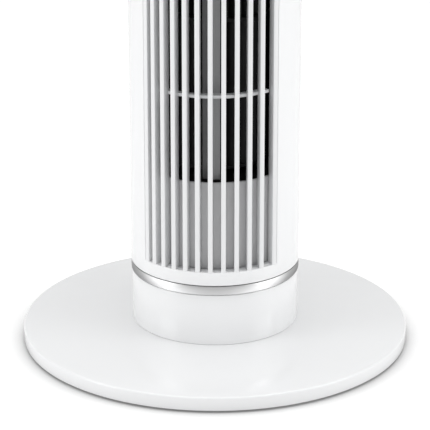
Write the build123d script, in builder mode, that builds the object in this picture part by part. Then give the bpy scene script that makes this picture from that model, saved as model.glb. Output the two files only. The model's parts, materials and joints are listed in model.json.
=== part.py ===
from build123d import *
import os
from math import acos, cos, degrees, hypot, pi, radians, sin, tan

# Tower fan on a round base disc. Millimetres and degrees, +Z up, the front faces -Y.
# The origin is the middle of the disc, on the floor. Angles round the column are counted
# from the front towards +X.

# Clearances
seat_gap = 0.3          # between pieces that are seated in one another
fit_gap = 0.15          # round a spigot in its hole
running_gap = 0.06      # radial, round a shaft that turns in its bearing
swing_gap = 0.7         # between the still trim ring and the swinging column
slide_gap = 0.2         # between faces that turn past each other
button_gap = 0.35       # round a push button

# Base disc and what is under it
base_radius = 150.0
base_rim_height = 10.8
base_crown = 4.9        # rise from the rim to the collar
base_bulge = 0.6        # how far the top swells above a plain cone
base_wall = 2.5
base_edge_top = 1.6
base_edge_bottom = 0.8
base_rib_count = 12
base_rib_wall = 1.6
cover_wall = 3.0
ballast_thickness = 3.0
ballast_inner = 76.0
ballast_outer = 138.0
foot_stand = 1.5        # the feet hold the disc this far off the floor
foot_height = 3.0
foot_radius = 9.0
foot_edge = 0.7
foot_circle = 128.0
foot_count = 6
cover_edge = 0.6
gland_bore = 2.9
gland_wall = 1.1
gland_flange = 1.0
gland_length = 9.0

# Pedestal collar, trim rings and the swivel inside the collar
column_radius = 65.4
collar_step = 1.1       # the collar is this much slimmer than the column
collar_height = 40.5
collar_wall = 2.5
ring_height = 7.6
ring_step = 0.2
ring_swell = 0.35
tongue_wall = 0.7
tongue_depth = 3.0
deck_drop = 5.4         # from the collar's top down to the deck
deck_wall = 3.0
deck_rib_wall = 2.0
deck_rib_height = 6.0
deck_rib_count = 5
ledge_width = 3.0
journal_length = 15.0
journal_wall = 4.0
hub_radius = 16.0
hub_bore = 11.5
retainer_height = 3.0
retainer_lip = 3.5
retainer_edge = 0.8
thrust_height = 3.5
thrust_inner = 52.8
thrust_outer = 57.0
thrust_edge = 0.5
plate_wall = 3.0
upstand_wall = 2.5
upstand_height = 10.4

# Swing drive
gear_module = 1.25
gear_teeth = 48
sector_teeth = 17
pinion_teeth = 16
pressure_angle = 20.0
backlash = 0.16
tip_clearance = 0.25    # as a share of the module
gear_width = 5.0
gear_lift = 1.0         # from the deck up to the gears
gear_hub_wall = 5.0
swing_motor_radius = 17.5
swing_motor_height = 14.0
swing_motor_edge = 1.2
swing_shaft_radius = 2.5
swing_pilot_radius = 4.5
swing_ear_radius = 3.5
swing_ear_reach = 21.0
swing_ear_wall = 1.2

# Column shells
shell_wall = 2.5
shell_seam = 97.0       # the front shell reaches this far round from the front
sill_height = 10.7      # column below the outlet
outlet_height = 546.4
outlet_half_angle = 50.4
head_height = 88.9      # column above the outlet
lip_height = 2.0
lip_width = 4.4
inlet_half_angle = 62.0
inlet_slots = 19
inlet_slot_width = 4.0
inlet_margin = 16.0
inlet_bar = 9.0
tier_count = 4          # the grille's curved ribs part it into this many tiers

# Front grille
fin_count = 12
fin_first = -48.9
fin_step = 7.94
fin_step_growth = 0.066
fin_front_width = 3.6
fin_back_width = 2.2
fin_edge = 0.4
fin_side_gap = 0.9      # between an outermost fin and the side of the outlet
fin_depth = 8.6
fin_focus = (4.9, 29.2)
grille_inset = 0.2      # the fins stand this far behind the shell's face
grille_end_height = 2.6
grille_end_angle = 1.0  # the end plates stop this far short of the duct's mouth
rib_height = 2.4
rib_depth = 5.2
rib_overlap = 1.5

# Lower bay with the blower's motor
cover_height = 68.8     # the pale cover shows this much above the outlet's sill
cover_wall_thickness = 2.0
cover_gap = 0.4
cover_half_angle = 58.0
post_radius = 4.5
post_height = 13.4
post_count = 4
motor_radius = 39.0
motor_wall = 2.0
motor_edge = 1.5
motor_cup_height = 14.0
stack_height = 20.0
rotor_radius = 20.8
rotor_gap = 0.5
rotor_overhang = 3.0
rotor_edge = 1.0
winding_inner = 24.0
winding_outer = 35.0
winding_height = 8.5
winding_edge = 2.0
bearing_boss_radius = 9.0
bearing_boss_height = 9.0
ear_radius = 5.0
ear_wall = 3.0
vent_count = 8
vent_width = 6.0
shaft_radius = 4.0
shaft_tail = 8.0
shaft_edge = 0.5
capacitor_size = (20.0, 9.0, 28.0)
capacitor_corner = 1.5
capacitor_gap = 1.2
board_wall = 1.6
board_drop = 11.0
board_radius = 46.0
board_part_height = 7.7
relay_size = (16.0, 20.0)
choke_size = (14.0, 12.0)
filter_radius = 6.0
pillar_radius = 2.5
pillar_inset = 5.0
pillar_count = 3

# Air chamber
plate_thickness = 2.5
chamber_headroom = 6.0
wheel_radius = 42.0
wheel_tiers = 4
wheel_disc = 2.0
wheel_gap = 6.0
blade_count = 25
blade_depth = 8.0
blade_sweep = 9.0
blade_angle = 1.5
hub_wall = 4.0
coupling_height = 10.0
coupling_wall = 4.0
stub_radius = 3.0
stub_length = 20.0
bush_wall = 3.0
bush_height = 8.0
holder_wall = 5.0
holder_height = 10.0
holder_flange = 1.5
duct_wall = 2.0
duct_spread = 4.0       # the duct's mouth is this much wider than the outlet on each side
scroll_mouth = -80.0
scroll_lip = 2.0
scroll_start_gap = 10.0
scroll_end_gap = 4.0
scroll_end = -172.0
tongue_gap = 3.0
tongue_start = 18.0
tongue_end = 22.0
tongue_foot = 12.0
tongue_round = 0.8
strut_start = -7.0
strut_end = 9.0
strut_wall = 2.5
strut_gap = 4.5
strut_round = 0.8

# Hand hold at the back of the head
hold_width = 80.0
hold_height = 34.0
hold_depth = 26.0
hold_wall = 2.0
hold_corner = 8.0

# Display window, top cap and controls
window_width = 40.0
window_height = 18.0
window_corner = 4.0
window_wall = 1.8
window_sink = 0.2
cap_height = 20.4
cap_round = 9.0
cap_wall = 2.5
panel_radius = 48.0
panel_wall = 2.0
panel_sink = 0.3
panel_ledge = 4.0
button_radius = 6.5
button_flange = 1.5
button_flange_wall = 1.2
button_proud = 1.8
button_edge = 0.8
button_stem_radius = 1.9
button_travel = 0.8
button_spare = 0.2      # left between stem and switch at full travel
button_circle = 30.0
button_spread = 34.0
button_names = ["power", "speed", "swing", "timer"]
lens_radius = 1.5
lens_proud = 0.4
lens_offset = 11.0
switch_size = 6.0
switch_height = 3.5
plunger_radius = 1.6
plunger_height = 1.5
control_board_drop = 12.0
control_board_radius = 44.0
board_post_radius = 3.0
board_post_circle = 38.0
board_post_count = 3

# Heights that follow from the sizes above
underside = foot_stand
rim_top = underside + base_rim_height
collar_seat = rim_top + base_crown
collar_top = collar_seat + collar_height
ring_top = collar_top + ring_height
column_bottom = ring_top + swing_gap
outlet_bottom = column_bottom + sill_height
outlet_top = outlet_bottom + outlet_height
shell_top = outlet_top + head_height
cap_bottom = shell_top + ring_height
cap_top = cap_bottom + cap_height
cover_top = outlet_bottom + cover_height
ceiling_bottom = outlet_top - chamber_headroom
ceiling_top = ceiling_bottom + plate_thickness
deck_top = collar_top - deck_drop
deck_bottom = deck_top - deck_wall
journal_bottom = deck_top - journal_length
hub_bottom = journal_bottom - slide_gap
thrust_top = deck_top + thrust_height
gear_bottom = deck_top + gear_lift
gear_top = gear_bottom + gear_width
plate_bottom = gear_top + seat_gap
plate_top = plate_bottom + plate_wall
post_top = plate_top + post_height
stack_bottom = post_top + motor_cup_height
stack_top = stack_bottom + stack_height
motor_top = stack_top + motor_cup_height

# Radii that follow
collar_radius = column_radius - collar_step
collar_inner = collar_radius - collar_wall
shell_inner = column_radius - shell_wall
ring_radius = column_radius - ring_step
turntable_radius = collar_inner - tongue_wall - swing_gap - fit_gap
fin_front = column_radius - grille_inset
fin_back = fin_front - fin_depth
cover_radius = fin_back - cover_gap
cover_inner = cover_radius - cover_wall_thickness
rim_inner = base_radius - base_wall
spigot_radius = collar_inner - collar_wall
housing_inner = cover_inner - cover_wall_thickness
post_circle = housing_inner - 2 * seat_gap - ear_radius
gear_pitch_radius = gear_module * gear_teeth / 2
pinion_pitch_radius = gear_module * pinion_teeth / 2
drive_centre = gear_pitch_radius + pinion_pitch_radius

os.makedirs("parts", exist_ok=True)


def save(builder, name):
    """Label a finished piece and write it to its own file."""
    builder.part.label = name
    export_step(builder.part, f"parts/{name}.step")


def around(radius, angle):
    """Give the point at a radius and an angle from the front towards +X."""
    return (radius * sin(radians(angle)), -radius * cos(radians(angle)))


def sector(inner, outer, start, end):
    """Sketch a part of a flat ring between two angles from the front."""
    middle = (start + end) / 2
    with BuildSketch(mode=Mode.PRIVATE) as shape:
        with BuildLine():
            ThreePointArc(around(outer, start), around(outer, middle), around(outer, end))
            Line(around(outer, end), around(inner, end))
            ThreePointArc(around(inner, end), around(inner, middle), around(inner, start))
            Line(around(inner, start), around(outer, start))
        make_face()
    return shape.sketch


def profile(points):
    """Sketch a closed outline of straight lines."""
    with BuildSketch(mode=Mode.PRIVATE) as shape:
        with BuildLine():
            Polyline(*points, close=True)
        make_face()
    return shape.sketch


def ring(outer, inner):
    """Sketch a flat ring."""
    with BuildSketch(mode=Mode.PRIVATE) as shape:
        Circle(outer)
        Circle(inner, mode=Mode.SUBTRACT)
    return shape.sketch


# Base disc: a ribbed shell whose top rises gently from the rim to the collar
def crown_height(radius):
    """Give the height of the disc's top at a radius, halfway swelled by the bulge."""
    share = (base_radius - radius) / (base_radius - collar_radius)
    return rim_top + base_crown * share + 4 * base_bulge * share * (1 - share)


crown_middle = (base_radius + collar_radius) / 2
rib_foot = underside + cover_wall + ballast_thickness + seat_gap
base_bore = spigot_radius + fit_gap
bore_wall = base_bore + base_wall

with BuildPart() as base_hollow:
    with BuildSketch(Plane.XZ):
        with BuildLine():
            Line((bore_wall, 0), (rim_inner, 0))
            Line((rim_inner, 0), (rim_inner, crown_height(rim_inner) - base_wall))
            ThreePointArc(
                (rim_inner, crown_height(rim_inner) - base_wall),
                (crown_middle, crown_height(crown_middle) - base_wall),
                (collar_radius, collar_seat - base_wall),
            )
            Line((collar_radius, collar_seat - base_wall), (bore_wall, collar_seat - base_wall))
            Line((bore_wall, collar_seat - base_wall), (bore_wall, 0))
        make_face()
    revolve(axis=Axis.Z)
    with BuildSketch(Plane.XY.offset(rib_foot)):
        with PolarLocations(0, base_rib_count, start_angle=180 / base_rib_count):
            Rectangle(base_radius, base_rib_wall, align=(Align.MIN, Align.CENTER))
    extrude(amount=base_rim_height + base_crown, mode=Mode.SUBTRACT)

gland_height = underside + base_rim_height / 2
gland_radius = gland_bore + gland_wall
gland_face = base_radius - fit_gap

with BuildPart() as base_disc:
    with BuildSketch(Plane.XZ) as disc_outline:
        with BuildLine():
            Line((base_bore, collar_seat), (base_bore, underside + cover_wall))
            Line((base_bore, underside + cover_wall), (base_bore, underside))
            Line((base_bore, underside), (base_radius, underside))
            Line((base_radius, underside), (base_radius, rim_top))
            ThreePointArc(
                (base_radius, rim_top),
                (crown_middle, crown_height(crown_middle)),
                (collar_radius, collar_seat),
            )
            Line((collar_radius, collar_seat), (base_bore, collar_seat))
        make_face()
        rim_corners = disc_outline.vertices().group_by(Axis.X)[-1].sort_by(Axis.Y)
        fillet(rim_corners[-1], radius=base_edge_top)
        fillet(rim_corners[0], radius=base_edge_bottom)
    revolve(axis=Axis.Z)
    add(base_hollow.part, mode=Mode.SUBTRACT)
    with BuildSketch(Plane.XY):
        Circle(rim_inner)
    extrude(amount=underside + cover_wall, mode=Mode.SUBTRACT)
    with BuildSketch(Plane.XZ.offset(-base_radius)):
        with Locations((0, gland_height)):
            Circle(gland_radius + fit_gap)
    extrude(amount=gland_length, mode=Mode.SUBTRACT)
    with BuildSketch(Plane.XZ.offset(-base_radius)):
        with Locations((0, gland_height)):
            Circle(gland_radius + gland_wall + fit_gap)
    extrude(amount=gland_flange + fit_gap, mode=Mode.SUBTRACT)
save(base_disc, "base_disc")

with BuildPart() as base_cover:
    with BuildSketch(Plane.XY.offset(underside)):
        Circle(rim_inner - fit_gap)
    extrude(amount=cover_wall)
    with BuildSketch(Plane.XY.offset(underside)):
        with PolarLocations(foot_circle, foot_count, start_angle=180 / foot_count):
            Circle(foot_radius + fit_gap)
    extrude(amount=foot_height - foot_stand, mode=Mode.SUBTRACT)
    with BuildSketch(Plane.XZ.offset(-base_radius)):
        with Locations((0, gland_height)):
            Circle(gland_radius + fit_gap)
    extrude(amount=gland_length + fit_gap, mode=Mode.SUBTRACT)
    chamfer(base_cover.edges().filter_by(GeomType.CIRCLE).sort_by(SortBy.RADIUS)[-1], length=cover_edge)
save(base_cover, "base_cover")

with BuildPart() as ballast_ring:
    with BuildSketch(Plane.XY.offset(underside + cover_wall)):
        add(ring(ballast_outer, ballast_inner))
        with PolarLocations((ballast_outer + ballast_inner) / 2, 4):
            Circle(base_wall, mode=Mode.SUBTRACT)
    extrude(amount=ballast_thickness)
save(ballast_ring, "ballast_ring")

with BuildPart() as rubber_feet:
    with PolarLocations(foot_circle, foot_count, start_angle=180 / foot_count):
        Cylinder(foot_radius, foot_height, align=(Align.CENTER, Align.CENTER, Align.MIN))
    chamfer(rubber_feet.edges().group_by(Axis.Z)[0], length=foot_edge)
save(rubber_feet, "rubber_feet")

with BuildPart() as cord_gland:
    with BuildSketch(Plane.XZ.offset(-gland_face)):
        with Locations((0, gland_height)):
            Circle(gland_radius)
    extrude(amount=gland_length - fit_gap)
    with BuildSketch(Plane.XZ.offset(-gland_face)):
        with Locations((0, gland_height)):
            Circle(gland_radius + gland_wall)
    extrude(amount=gland_flange)
    with BuildSketch(Plane.XZ.offset(-gland_face)):
        with Locations((0, gland_height)):
            Circle(gland_bore)
    extrude(amount=gland_length, mode=Mode.SUBTRACT)
save(cord_gland, "cord_gland")

# Pedestal collar: a drum with a spigot in the disc and a ledge for the deck
ledge_inner = collar_inner - ledge_width
with BuildPart() as pedestal_collar:
    with BuildSketch(Plane.XZ):
        add(
            profile(
                [
                    (spigot_radius - collar_wall, collar_seat - base_wall),
                    (spigot_radius, collar_seat - base_wall),
                    (spigot_radius, collar_seat),
                    (collar_radius, collar_seat),
                    (collar_radius, collar_top),
                    (collar_inner, collar_top),
                    (collar_inner, deck_bottom),
                    (ledge_inner, deck_bottom),
                    (ledge_inner, deck_bottom - ledge_width),
                    (collar_inner, deck_bottom - 2 * ledge_width),
                    (collar_inner, collar_seat + collar_wall),
                    (spigot_radius - collar_wall, collar_seat + collar_wall),
                ]
            )
        )
    revolve(axis=Axis.Z)
save(pedestal_collar, "pedestal_collar")


def trim_outline(bottom, inner, tongue_outer):
    """Sketch the section of a satin band with a locating tongue below it."""
    edge = ring_radius - ring_swell
    top = bottom + ring_height
    with BuildSketch(mode=Mode.PRIVATE) as shape:
        with BuildLine():
            ThreePointArc((edge, bottom), (ring_radius, (bottom + top) / 2), (edge, top))
            Polyline(
                (edge, top),
                (inner, top),
                (inner, bottom - tongue_depth),
                (tongue_outer, bottom - tongue_depth),
                (tongue_outer, bottom),
                (edge, bottom),
            )
        make_face()
    return shape.sketch


with BuildPart() as trim_ring:
    with BuildSketch(Plane.XZ):
        add(trim_outline(collar_top, collar_inner - fit_gap - tongue_wall, collar_inner - fit_gap))
    revolve(axis=Axis.Z)
save(trim_ring, "trim_ring")

with BuildPart() as swivel_deck:
    with BuildSketch(Plane.XY.offset(deck_bottom)):
        Circle(collar_inner - fit_gap)
    extrude(amount=deck_wall)
    with BuildSketch(Plane.XY.offset(journal_bottom)):
        Circle(hub_radius + journal_wall)
    extrude(amount=deck_bottom - journal_bottom)
    with BuildSketch(Plane.XY.offset(deck_bottom)):
        with PolarLocations(0, deck_rib_count, start_angle=-90):
            Rectangle(ledge_inner - fit_gap, deck_rib_wall, align=(Align.MIN, Align.CENTER))
    extrude(amount=-deck_rib_height)
    with BuildSketch(Plane.XY.offset(deck_top)):
        Circle(hub_radius + running_gap)
    extrude(amount=-journal_length, mode=Mode.SUBTRACT)
    with BuildSketch(Plane.XY.offset(deck_top)):
        with Locations((0, drive_centre)):
            Circle(swing_pilot_radius + fit_gap)
    extrude(amount=-deck_wall, mode=Mode.SUBTRACT)
save(swivel_deck, "swivel_deck")

with BuildPart() as thrust_ring:
    with BuildSketch(Plane.XY.offset(deck_top)):
        add(ring(thrust_outer, thrust_inner))
    extrude(amount=thrust_height)
    chamfer(thrust_ring.edges().group_by(Axis.Z)[-1], length=thrust_edge)
save(thrust_ring, "thrust_ring")

with BuildPart() as swing_motor:
    with BuildSketch(Plane.XY.offset(deck_bottom)):
        with Locations((0, drive_centre)):
            Circle(swing_motor_radius)
    extrude(amount=-swing_motor_height)
    chamfer(swing_motor.edges().group_by(Axis.Z)[0], length=swing_motor_edge)
    with BuildSketch(Plane.XY.offset(deck_bottom)):
        with Locations((swing_ear_reach, drive_centre), (-swing_ear_reach, drive_centre)):
            Circle(swing_ear_radius)
        with Locations((0, drive_centre)):
            Rectangle(2 * swing_ear_reach, 2 * swing_ear_radius)
    extrude(amount=-swing_ear_wall)
    with BuildSketch(Plane.XY.offset(deck_bottom)):
        with Locations((0, drive_centre)):
            Circle(swing_pilot_radius)
    extrude(amount=deck_wall / 2)
    with BuildSketch(Plane.XY.offset(deck_top)):
        with Locations((0, drive_centre)):
            Circle(swing_shaft_radius + running_gap)
    extrude(amount=-deck_wall - swing_motor_height / 2, mode=Mode.SUBTRACT)
save(swing_motor, "swing_motor")


# Swing drive: involute teeth on a sector and on a pinion
def involute(angle):
    """Give the involute function of an angle in radians."""
    return tan(angle) - angle


def tooth(teeth, centre):
    """Sketch one gear tooth that points along the given angle from the +X axis."""
    pitch = gear_module * teeth / 2
    base = pitch * cos(radians(pressure_angle))
    root = pitch - gear_module * (1 + tip_clearance)
    tip = pitch + gear_module
    half = pi / (2 * teeth) - backlash / (4 * pitch) + involute(radians(pressure_angle))

    def flank(radius, side):
        """Give a point of the flank on one side of the tooth."""
        turn = radians(centre) + side * (half - involute(acos(min(1, base / radius))))
        return (radius * cos(turn), radius * sin(turn))

    start = max(base, root)
    middle = (start + tip) / 2
    foot = root - gear_module / 4
    inset = foot / start
    with BuildSketch(mode=Mode.PRIVATE) as shape:
        with BuildLine():
            left = [flank(start, 1), flank(middle, 1), flank(tip, 1)]
            right = [flank(start, -1), flank(middle, -1), flank(tip, -1)]
            left_foot = (left[0][0] * inset, left[0][1] * inset)
            right_foot = (right[0][0] * inset, right[0][1] * inset)
            Line(left_foot, left[0])
            ThreePointArc(*left)
            Line(left[2], right[2])
            ThreePointArc(*reversed(right))
            Line(right[0], right_foot)
            Line(right_foot, left_foot)
        make_face()
    return shape.sketch


gear_root = gear_pitch_radius - gear_module * (1 + tip_clearance)
pinion_root = pinion_pitch_radius - gear_module * (1 + tip_clearance)
gear_pitch_angle = 360 / gear_teeth
sector_half = gear_pitch_angle * (sector_teeth + 1) / 2

with BuildPart() as swing_gear:
    with BuildSketch(Plane.XY.offset(gear_bottom)):
        Circle(hub_radius + gear_hub_wall)
        add(sector(hub_radius, gear_root, 180 - sector_half, 180 + sector_half))
        for index in range(sector_teeth + 1):
            add(tooth(gear_teeth, 90 + (index - sector_teeth / 2) * gear_pitch_angle))
        Circle(hub_radius, mode=Mode.SUBTRACT)
    extrude(amount=gear_width)
save(swing_gear, "swing_gear")

with BuildPart() as swing_pinion:
    with BuildSketch(Plane.XY.offset(gear_bottom)):
        Circle(pinion_root)
        for index in range(pinion_teeth):
            add(tooth(pinion_teeth, -90 + index * 360 / pinion_teeth))
        Circle(swing_shaft_radius, mode=Mode.SUBTRACT)
    extrude(amount=gear_width)
swing_pinion.part = swing_pinion.part.moved(Location((0, drive_centre, 0)))
save(swing_pinion, "swing_pinion")

with BuildPart() as swing_motor_shaft:
    with BuildSketch(Plane.XY.offset(deck_bottom - swing_motor_height / 2)):
        with Locations((0, drive_centre)):
            Circle(swing_shaft_radius)
    extrude(amount=gear_top - deck_bottom + swing_motor_height / 2)
save(swing_motor_shaft, "swing_motor_shaft")

# Turntable: the plate that carries the column, with its hollow hub
with BuildPart() as turntable:
    with BuildSketch(Plane.XZ):
        add(
            profile(
                [
                    (hub_bore, hub_bottom),
                    (hub_radius, hub_bottom),
                    (hub_radius, plate_bottom),
                    (thrust_inner, plate_bottom),
                    (thrust_inner, thrust_top + slide_gap),
                    (thrust_outer, thrust_top + slide_gap),
                    (thrust_outer, plate_bottom),
                    (turntable_radius, plate_bottom),
                    (turntable_radius, plate_top + upstand_height),
                    (turntable_radius - upstand_wall, plate_top + upstand_height),
                    (turntable_radius - upstand_wall, plate_top),
                    (hub_bore, plate_top),
                ]
            )
        )
    revolve(axis=Axis.Z)
    with BuildSketch(Plane.XY.offset(plate_top)):
        with PolarLocations(post_circle, post_count, start_angle=180 / post_count):
            Circle(post_radius)
    extrude(amount=post_height)
save(turntable, "turntable")

with BuildPart() as hub_retainer:
    with BuildSketch(Plane.XY.offset(hub_bottom)):
        add(ring(hub_radius + retainer_lip, hub_bore))
    extrude(amount=-retainer_height)
    chamfer(hub_retainer.edges().group_by(Axis.Z)[0].sort_by(SortBy.RADIUS)[-1], length=retainer_edge)
save(hub_retainer, "hub_retainer")


# Blower motor: two cast brackets that hold the stack between them
def bracket(direction, face):
    """Build a motor bracket that opens along the direction from its closed face."""
    with BuildPart(mode=Mode.PRIVATE) as cup:
        with BuildSketch(Plane.XY.offset(face)):
            Circle(motor_radius)
        extrude(amount=direction * motor_cup_height)
        chamfer(cup.edges().group_by(Axis.Z)[0 if direction > 0 else -1], length=motor_edge)
        with BuildSketch(Plane.XY.offset(face + direction * motor_wall)):
            Circle(motor_radius - motor_wall)
        extrude(amount=direction * motor_cup_height, mode=Mode.SUBTRACT)
        with BuildSketch(Plane.XY.offset(face + direction * motor_wall)):
            Circle(bearing_boss_radius)
        extrude(amount=-direction * bearing_boss_height / 2)
        with BuildSketch(Plane.XY.offset(face)):
            with PolarLocations((motor_radius + bearing_boss_radius) / 2, vent_count):
                Rectangle(motor_radius / 3, vent_width)
        extrude(amount=direction * motor_wall, mode=Mode.SUBTRACT)
    return cup.part


with BuildPart() as motor_lower_bracket:
    add(bracket(1, post_top))
    with BuildSketch(Plane.XY.offset(post_top)):
        with PolarLocations(post_circle, post_count, start_angle=180 / post_count):
            Circle(ear_radius)
        with PolarLocations(0, post_count, start_angle=180 / post_count):
            Rectangle(post_circle, 2 * ear_radius, align=(Align.MIN, Align.CENTER))
        Circle(motor_radius - motor_wall, mode=Mode.SUBTRACT)
    extrude(amount=ear_wall)
    with BuildSketch(Plane.XY.offset(post_top - bearing_boss_height)):
        Circle(shaft_radius + running_gap)
    extrude(amount=motor_cup_height + bearing_boss_height, mode=Mode.SUBTRACT)
save(motor_lower_bracket, "motor_lower_bracket")

with BuildPart() as motor_upper_bracket:
    add(bracket(-1, motor_top))
    with BuildSketch(Plane.XY.offset(stack_top)):
        Circle(shaft_radius + running_gap)
    extrude(amount=motor_cup_height + bearing_boss_height, mode=Mode.SUBTRACT)
save(motor_upper_bracket, "motor_upper_bracket")

with BuildPart() as motor_stator:
    with BuildSketch(Plane.XY.offset(stack_bottom)):
        add(ring(motor_radius, rotor_radius + rotor_gap))
    extrude(amount=stack_height)
save(motor_stator, "motor_stator")

with BuildPart() as motor_windings:
    winding_middle = (winding_inner + winding_outer) / 2
    with BuildSketch(Plane.XZ):
        with Locations((winding_middle, stack_bottom), (winding_middle, stack_top + winding_height)):
            Rectangle(
                winding_outer - winding_inner,
                winding_height,
                align=(Align.CENTER, Align.MAX),
            )
    revolve(axis=Axis.Z)
    chamfer(motor_windings.edges().filter_by(GeomType.CIRCLE), length=winding_edge)
save(motor_windings, "motor_windings")

with BuildPart() as motor_rotor:
    with BuildSketch(Plane.XY.offset(stack_bottom - rotor_overhang)):
        add(ring(rotor_radius, shaft_radius))
    extrude(amount=stack_height + 2 * rotor_overhang)
    chamfer(motor_rotor.edges().filter_by(GeomType.CIRCLE).sort_by(SortBy.RADIUS)[-2:], length=rotor_edge)
save(motor_rotor, "motor_rotor")

wheel_bottom = cover_top + wheel_gap
wheel_top = ceiling_bottom - wheel_gap
shaft_top = wheel_bottom + coupling_height
with BuildPart() as motor_shaft:
    with BuildSketch(Plane.XY.offset(post_top - shaft_tail)):
        Circle(shaft_radius)
    extrude(amount=shaft_top - post_top + shaft_tail)
    chamfer(motor_shaft.edges().group_by(Axis.Z)[-1], length=shaft_edge)
save(motor_shaft, "motor_shaft")


# Motor housing: the plate over the lower bay, with its wall round the back
def chamber_plate():
    """Sketch a plate that fills the shells and clears the grille at the front."""
    with BuildSketch(mode=Mode.PRIVATE) as shape:
        Circle(shell_inner - seat_gap)
        add(
            sector(cover_inner, column_radius, -cover_half_angle, cover_half_angle),
            mode=Mode.SUBTRACT,
        )
    return shape.sketch


with BuildPart() as motor_housing:
    with BuildSketch(Plane.XY.offset(cover_top - plate_thickness)):
        add(chamber_plate())
    extrude(amount=plate_thickness)
    with BuildSketch(Plane.XY.offset(plate_top)):
        add(
            sector(
                housing_inner,
                cover_inner,
                cover_half_angle,
                360 - cover_half_angle,
            )
        )
    extrude(amount=cover_top - plate_top)
    with BuildSketch(Plane.XY.offset(cover_top)):
        Circle(coupling_wall + shaft_radius + hub_wall)
    extrude(amount=-plate_thickness, mode=Mode.SUBTRACT)
save(motor_housing, "motor_housing")

with BuildPart() as motor_cover:
    with BuildSketch(Plane.XY.offset(plate_top)):
        add(sector(cover_inner, cover_radius, -cover_half_angle, cover_half_angle))
    extrude(amount=cover_top - plate_top)
save(motor_cover, "motor_cover")

with BuildPart() as run_capacitor:
    with BuildSketch(Plane.XY.offset(plate_top)):
        with Locations((0, motor_radius + capacitor_gap)):
            RectangleRounded(
                capacitor_size[0],
                capacitor_size[1],
                capacitor_corner,
                align=(Align.CENTER, Align.MIN),
            )
    extrude(amount=capacitor_size[2])
save(run_capacitor, "run_capacitor")

board_level = cover_top - plate_thickness - board_drop
with BuildPart() as power_board:
    with BuildSketch(Plane.XY.offset(board_level)):
        Circle(board_radius)
        Circle(2 * shaft_radius, mode=Mode.SUBTRACT)
    extrude(amount=-board_wall)
    with BuildSketch(Plane.XY.offset(board_level)):
        with Locations((-board_radius / 2, 0)):
            Rectangle(*relay_size)
        with Locations((board_radius / 2, board_radius / 3)):
            Rectangle(*choke_size)
        with Locations((board_radius / 2, -board_radius / 3)):
            Circle(filter_radius)
    extrude(amount=board_part_height)
    with BuildSketch(Plane.XY.offset(board_level)):
        with PolarLocations(board_radius - pillar_inset, pillar_count, start_angle=90):
            Circle(pillar_radius)
    extrude(amount=board_drop)
save(power_board, "power_board")

# Blower: a cross-flow wheel of staggered tiers of forward-curved blades
with BuildPart() as drive_coupling:
    with BuildSketch(Plane.XY.offset(wheel_bottom)):
        add(ring(shaft_radius + coupling_wall, shaft_radius))
    extrude(amount=coupling_height)
save(drive_coupling, "drive_coupling")


def blade():
    """Sketch one blade at the front of the wheel, curved into the turn."""
    inner = wheel_radius - blade_depth
    middle = wheel_radius - blade_depth / 2
    bend = blade_sweep / 4
    with BuildSketch(mode=Mode.PRIVATE) as shape:
        with BuildLine():
            ThreePointArc(around(inner, 0), around(middle, bend), around(wheel_radius, blade_sweep))
            Line(around(wheel_radius, blade_sweep), around(wheel_radius, blade_sweep + blade_angle))
            ThreePointArc(
                around(wheel_radius, blade_sweep + blade_angle),
                around(middle, bend + blade_angle),
                around(inner, blade_angle),
            )
            Line(around(inner, blade_angle), around(inner, 0))
        make_face()
    return shape.sketch


tier_pitch = (wheel_top - wheel_bottom - wheel_disc) / wheel_tiers
with BuildPart() as blower_wheel:
    for tier in range(wheel_tiers):
        stagger = tier * 180 / blade_count
        with BuildSketch(Plane.XY.offset(wheel_bottom + wheel_disc / 2 + tier * tier_pitch)):
            with PolarLocations(0, blade_count, start_angle=stagger):
                add(blade())
        extrude(amount=tier_pitch)
    for tier in range(wheel_tiers + 1):
        with BuildSketch(Plane.XY.offset(wheel_bottom + tier * tier_pitch)):
            Circle(wheel_radius)
            if 0 < tier < wheel_tiers:
                Circle(wheel_radius - blade_depth, mode=Mode.SUBTRACT)
        extrude(amount=wheel_disc)
    with BuildSketch(Plane.XY.offset(wheel_bottom)):
        Circle(shaft_radius + coupling_wall + hub_wall)
    extrude(amount=coupling_height)
    with BuildSketch(Plane.XY.offset(wheel_bottom)):
        Circle(shaft_radius + coupling_wall)
    extrude(amount=coupling_height, mode=Mode.SUBTRACT)
    with BuildSketch(Plane.XY.offset(wheel_top)):
        Circle(stub_radius + hub_wall)
    extrude(amount=-stub_length / 2)
    with BuildSketch(Plane.XY.offset(wheel_top)):
        Circle(stub_radius)
    extrude(amount=-stub_length / 2, mode=Mode.SUBTRACT)
save(blower_wheel, "blower_wheel")

with BuildPart() as stub_shaft:
    with BuildSketch(Plane.XY.offset(wheel_top - stub_length / 2)):
        Circle(stub_radius)
    extrude(amount=stub_length / 2 + wheel_gap + holder_height)
save(stub_shaft, "stub_shaft")

# Air chamber: ceiling with the upper bearing, and the walls round the wheel
holder_radius = stub_radius + bush_wall + holder_wall
with BuildPart() as blower_ceiling:
    with BuildSketch(Plane.XY.offset(ceiling_bottom)):
        add(chamber_plate())
    extrude(amount=plate_thickness)
    with BuildSketch(Plane.XY.offset(ceiling_bottom)):
        Circle(holder_radius)
    extrude(amount=plate_thickness, mode=Mode.SUBTRACT)
save(blower_ceiling, "blower_ceiling")

with BuildPart() as bush_holder:
    with BuildSketch(Plane.XY.offset(ceiling_bottom)):
        add(ring(holder_radius, stub_radius + bush_wall))
    extrude(amount=holder_height)
    with BuildSketch(Plane.XY.offset(ceiling_top)):
        add(ring(holder_radius + holder_flange, holder_radius))
    extrude(amount=holder_flange)
save(bush_holder, "bush_holder")

with BuildPart() as top_bush:
    with BuildSketch(Plane.XY.offset(ceiling_bottom + (holder_height - bush_height) / 2)):
        add(ring(stub_radius + bush_wall, stub_radius + running_gap))
    extrude(amount=bush_height)
save(top_bush, "top_bush")

chamber_height = ceiling_bottom - cover_top
mouth_angle = outlet_half_angle + duct_spread
mouth_radius = shell_inner - seat_gap


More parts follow.
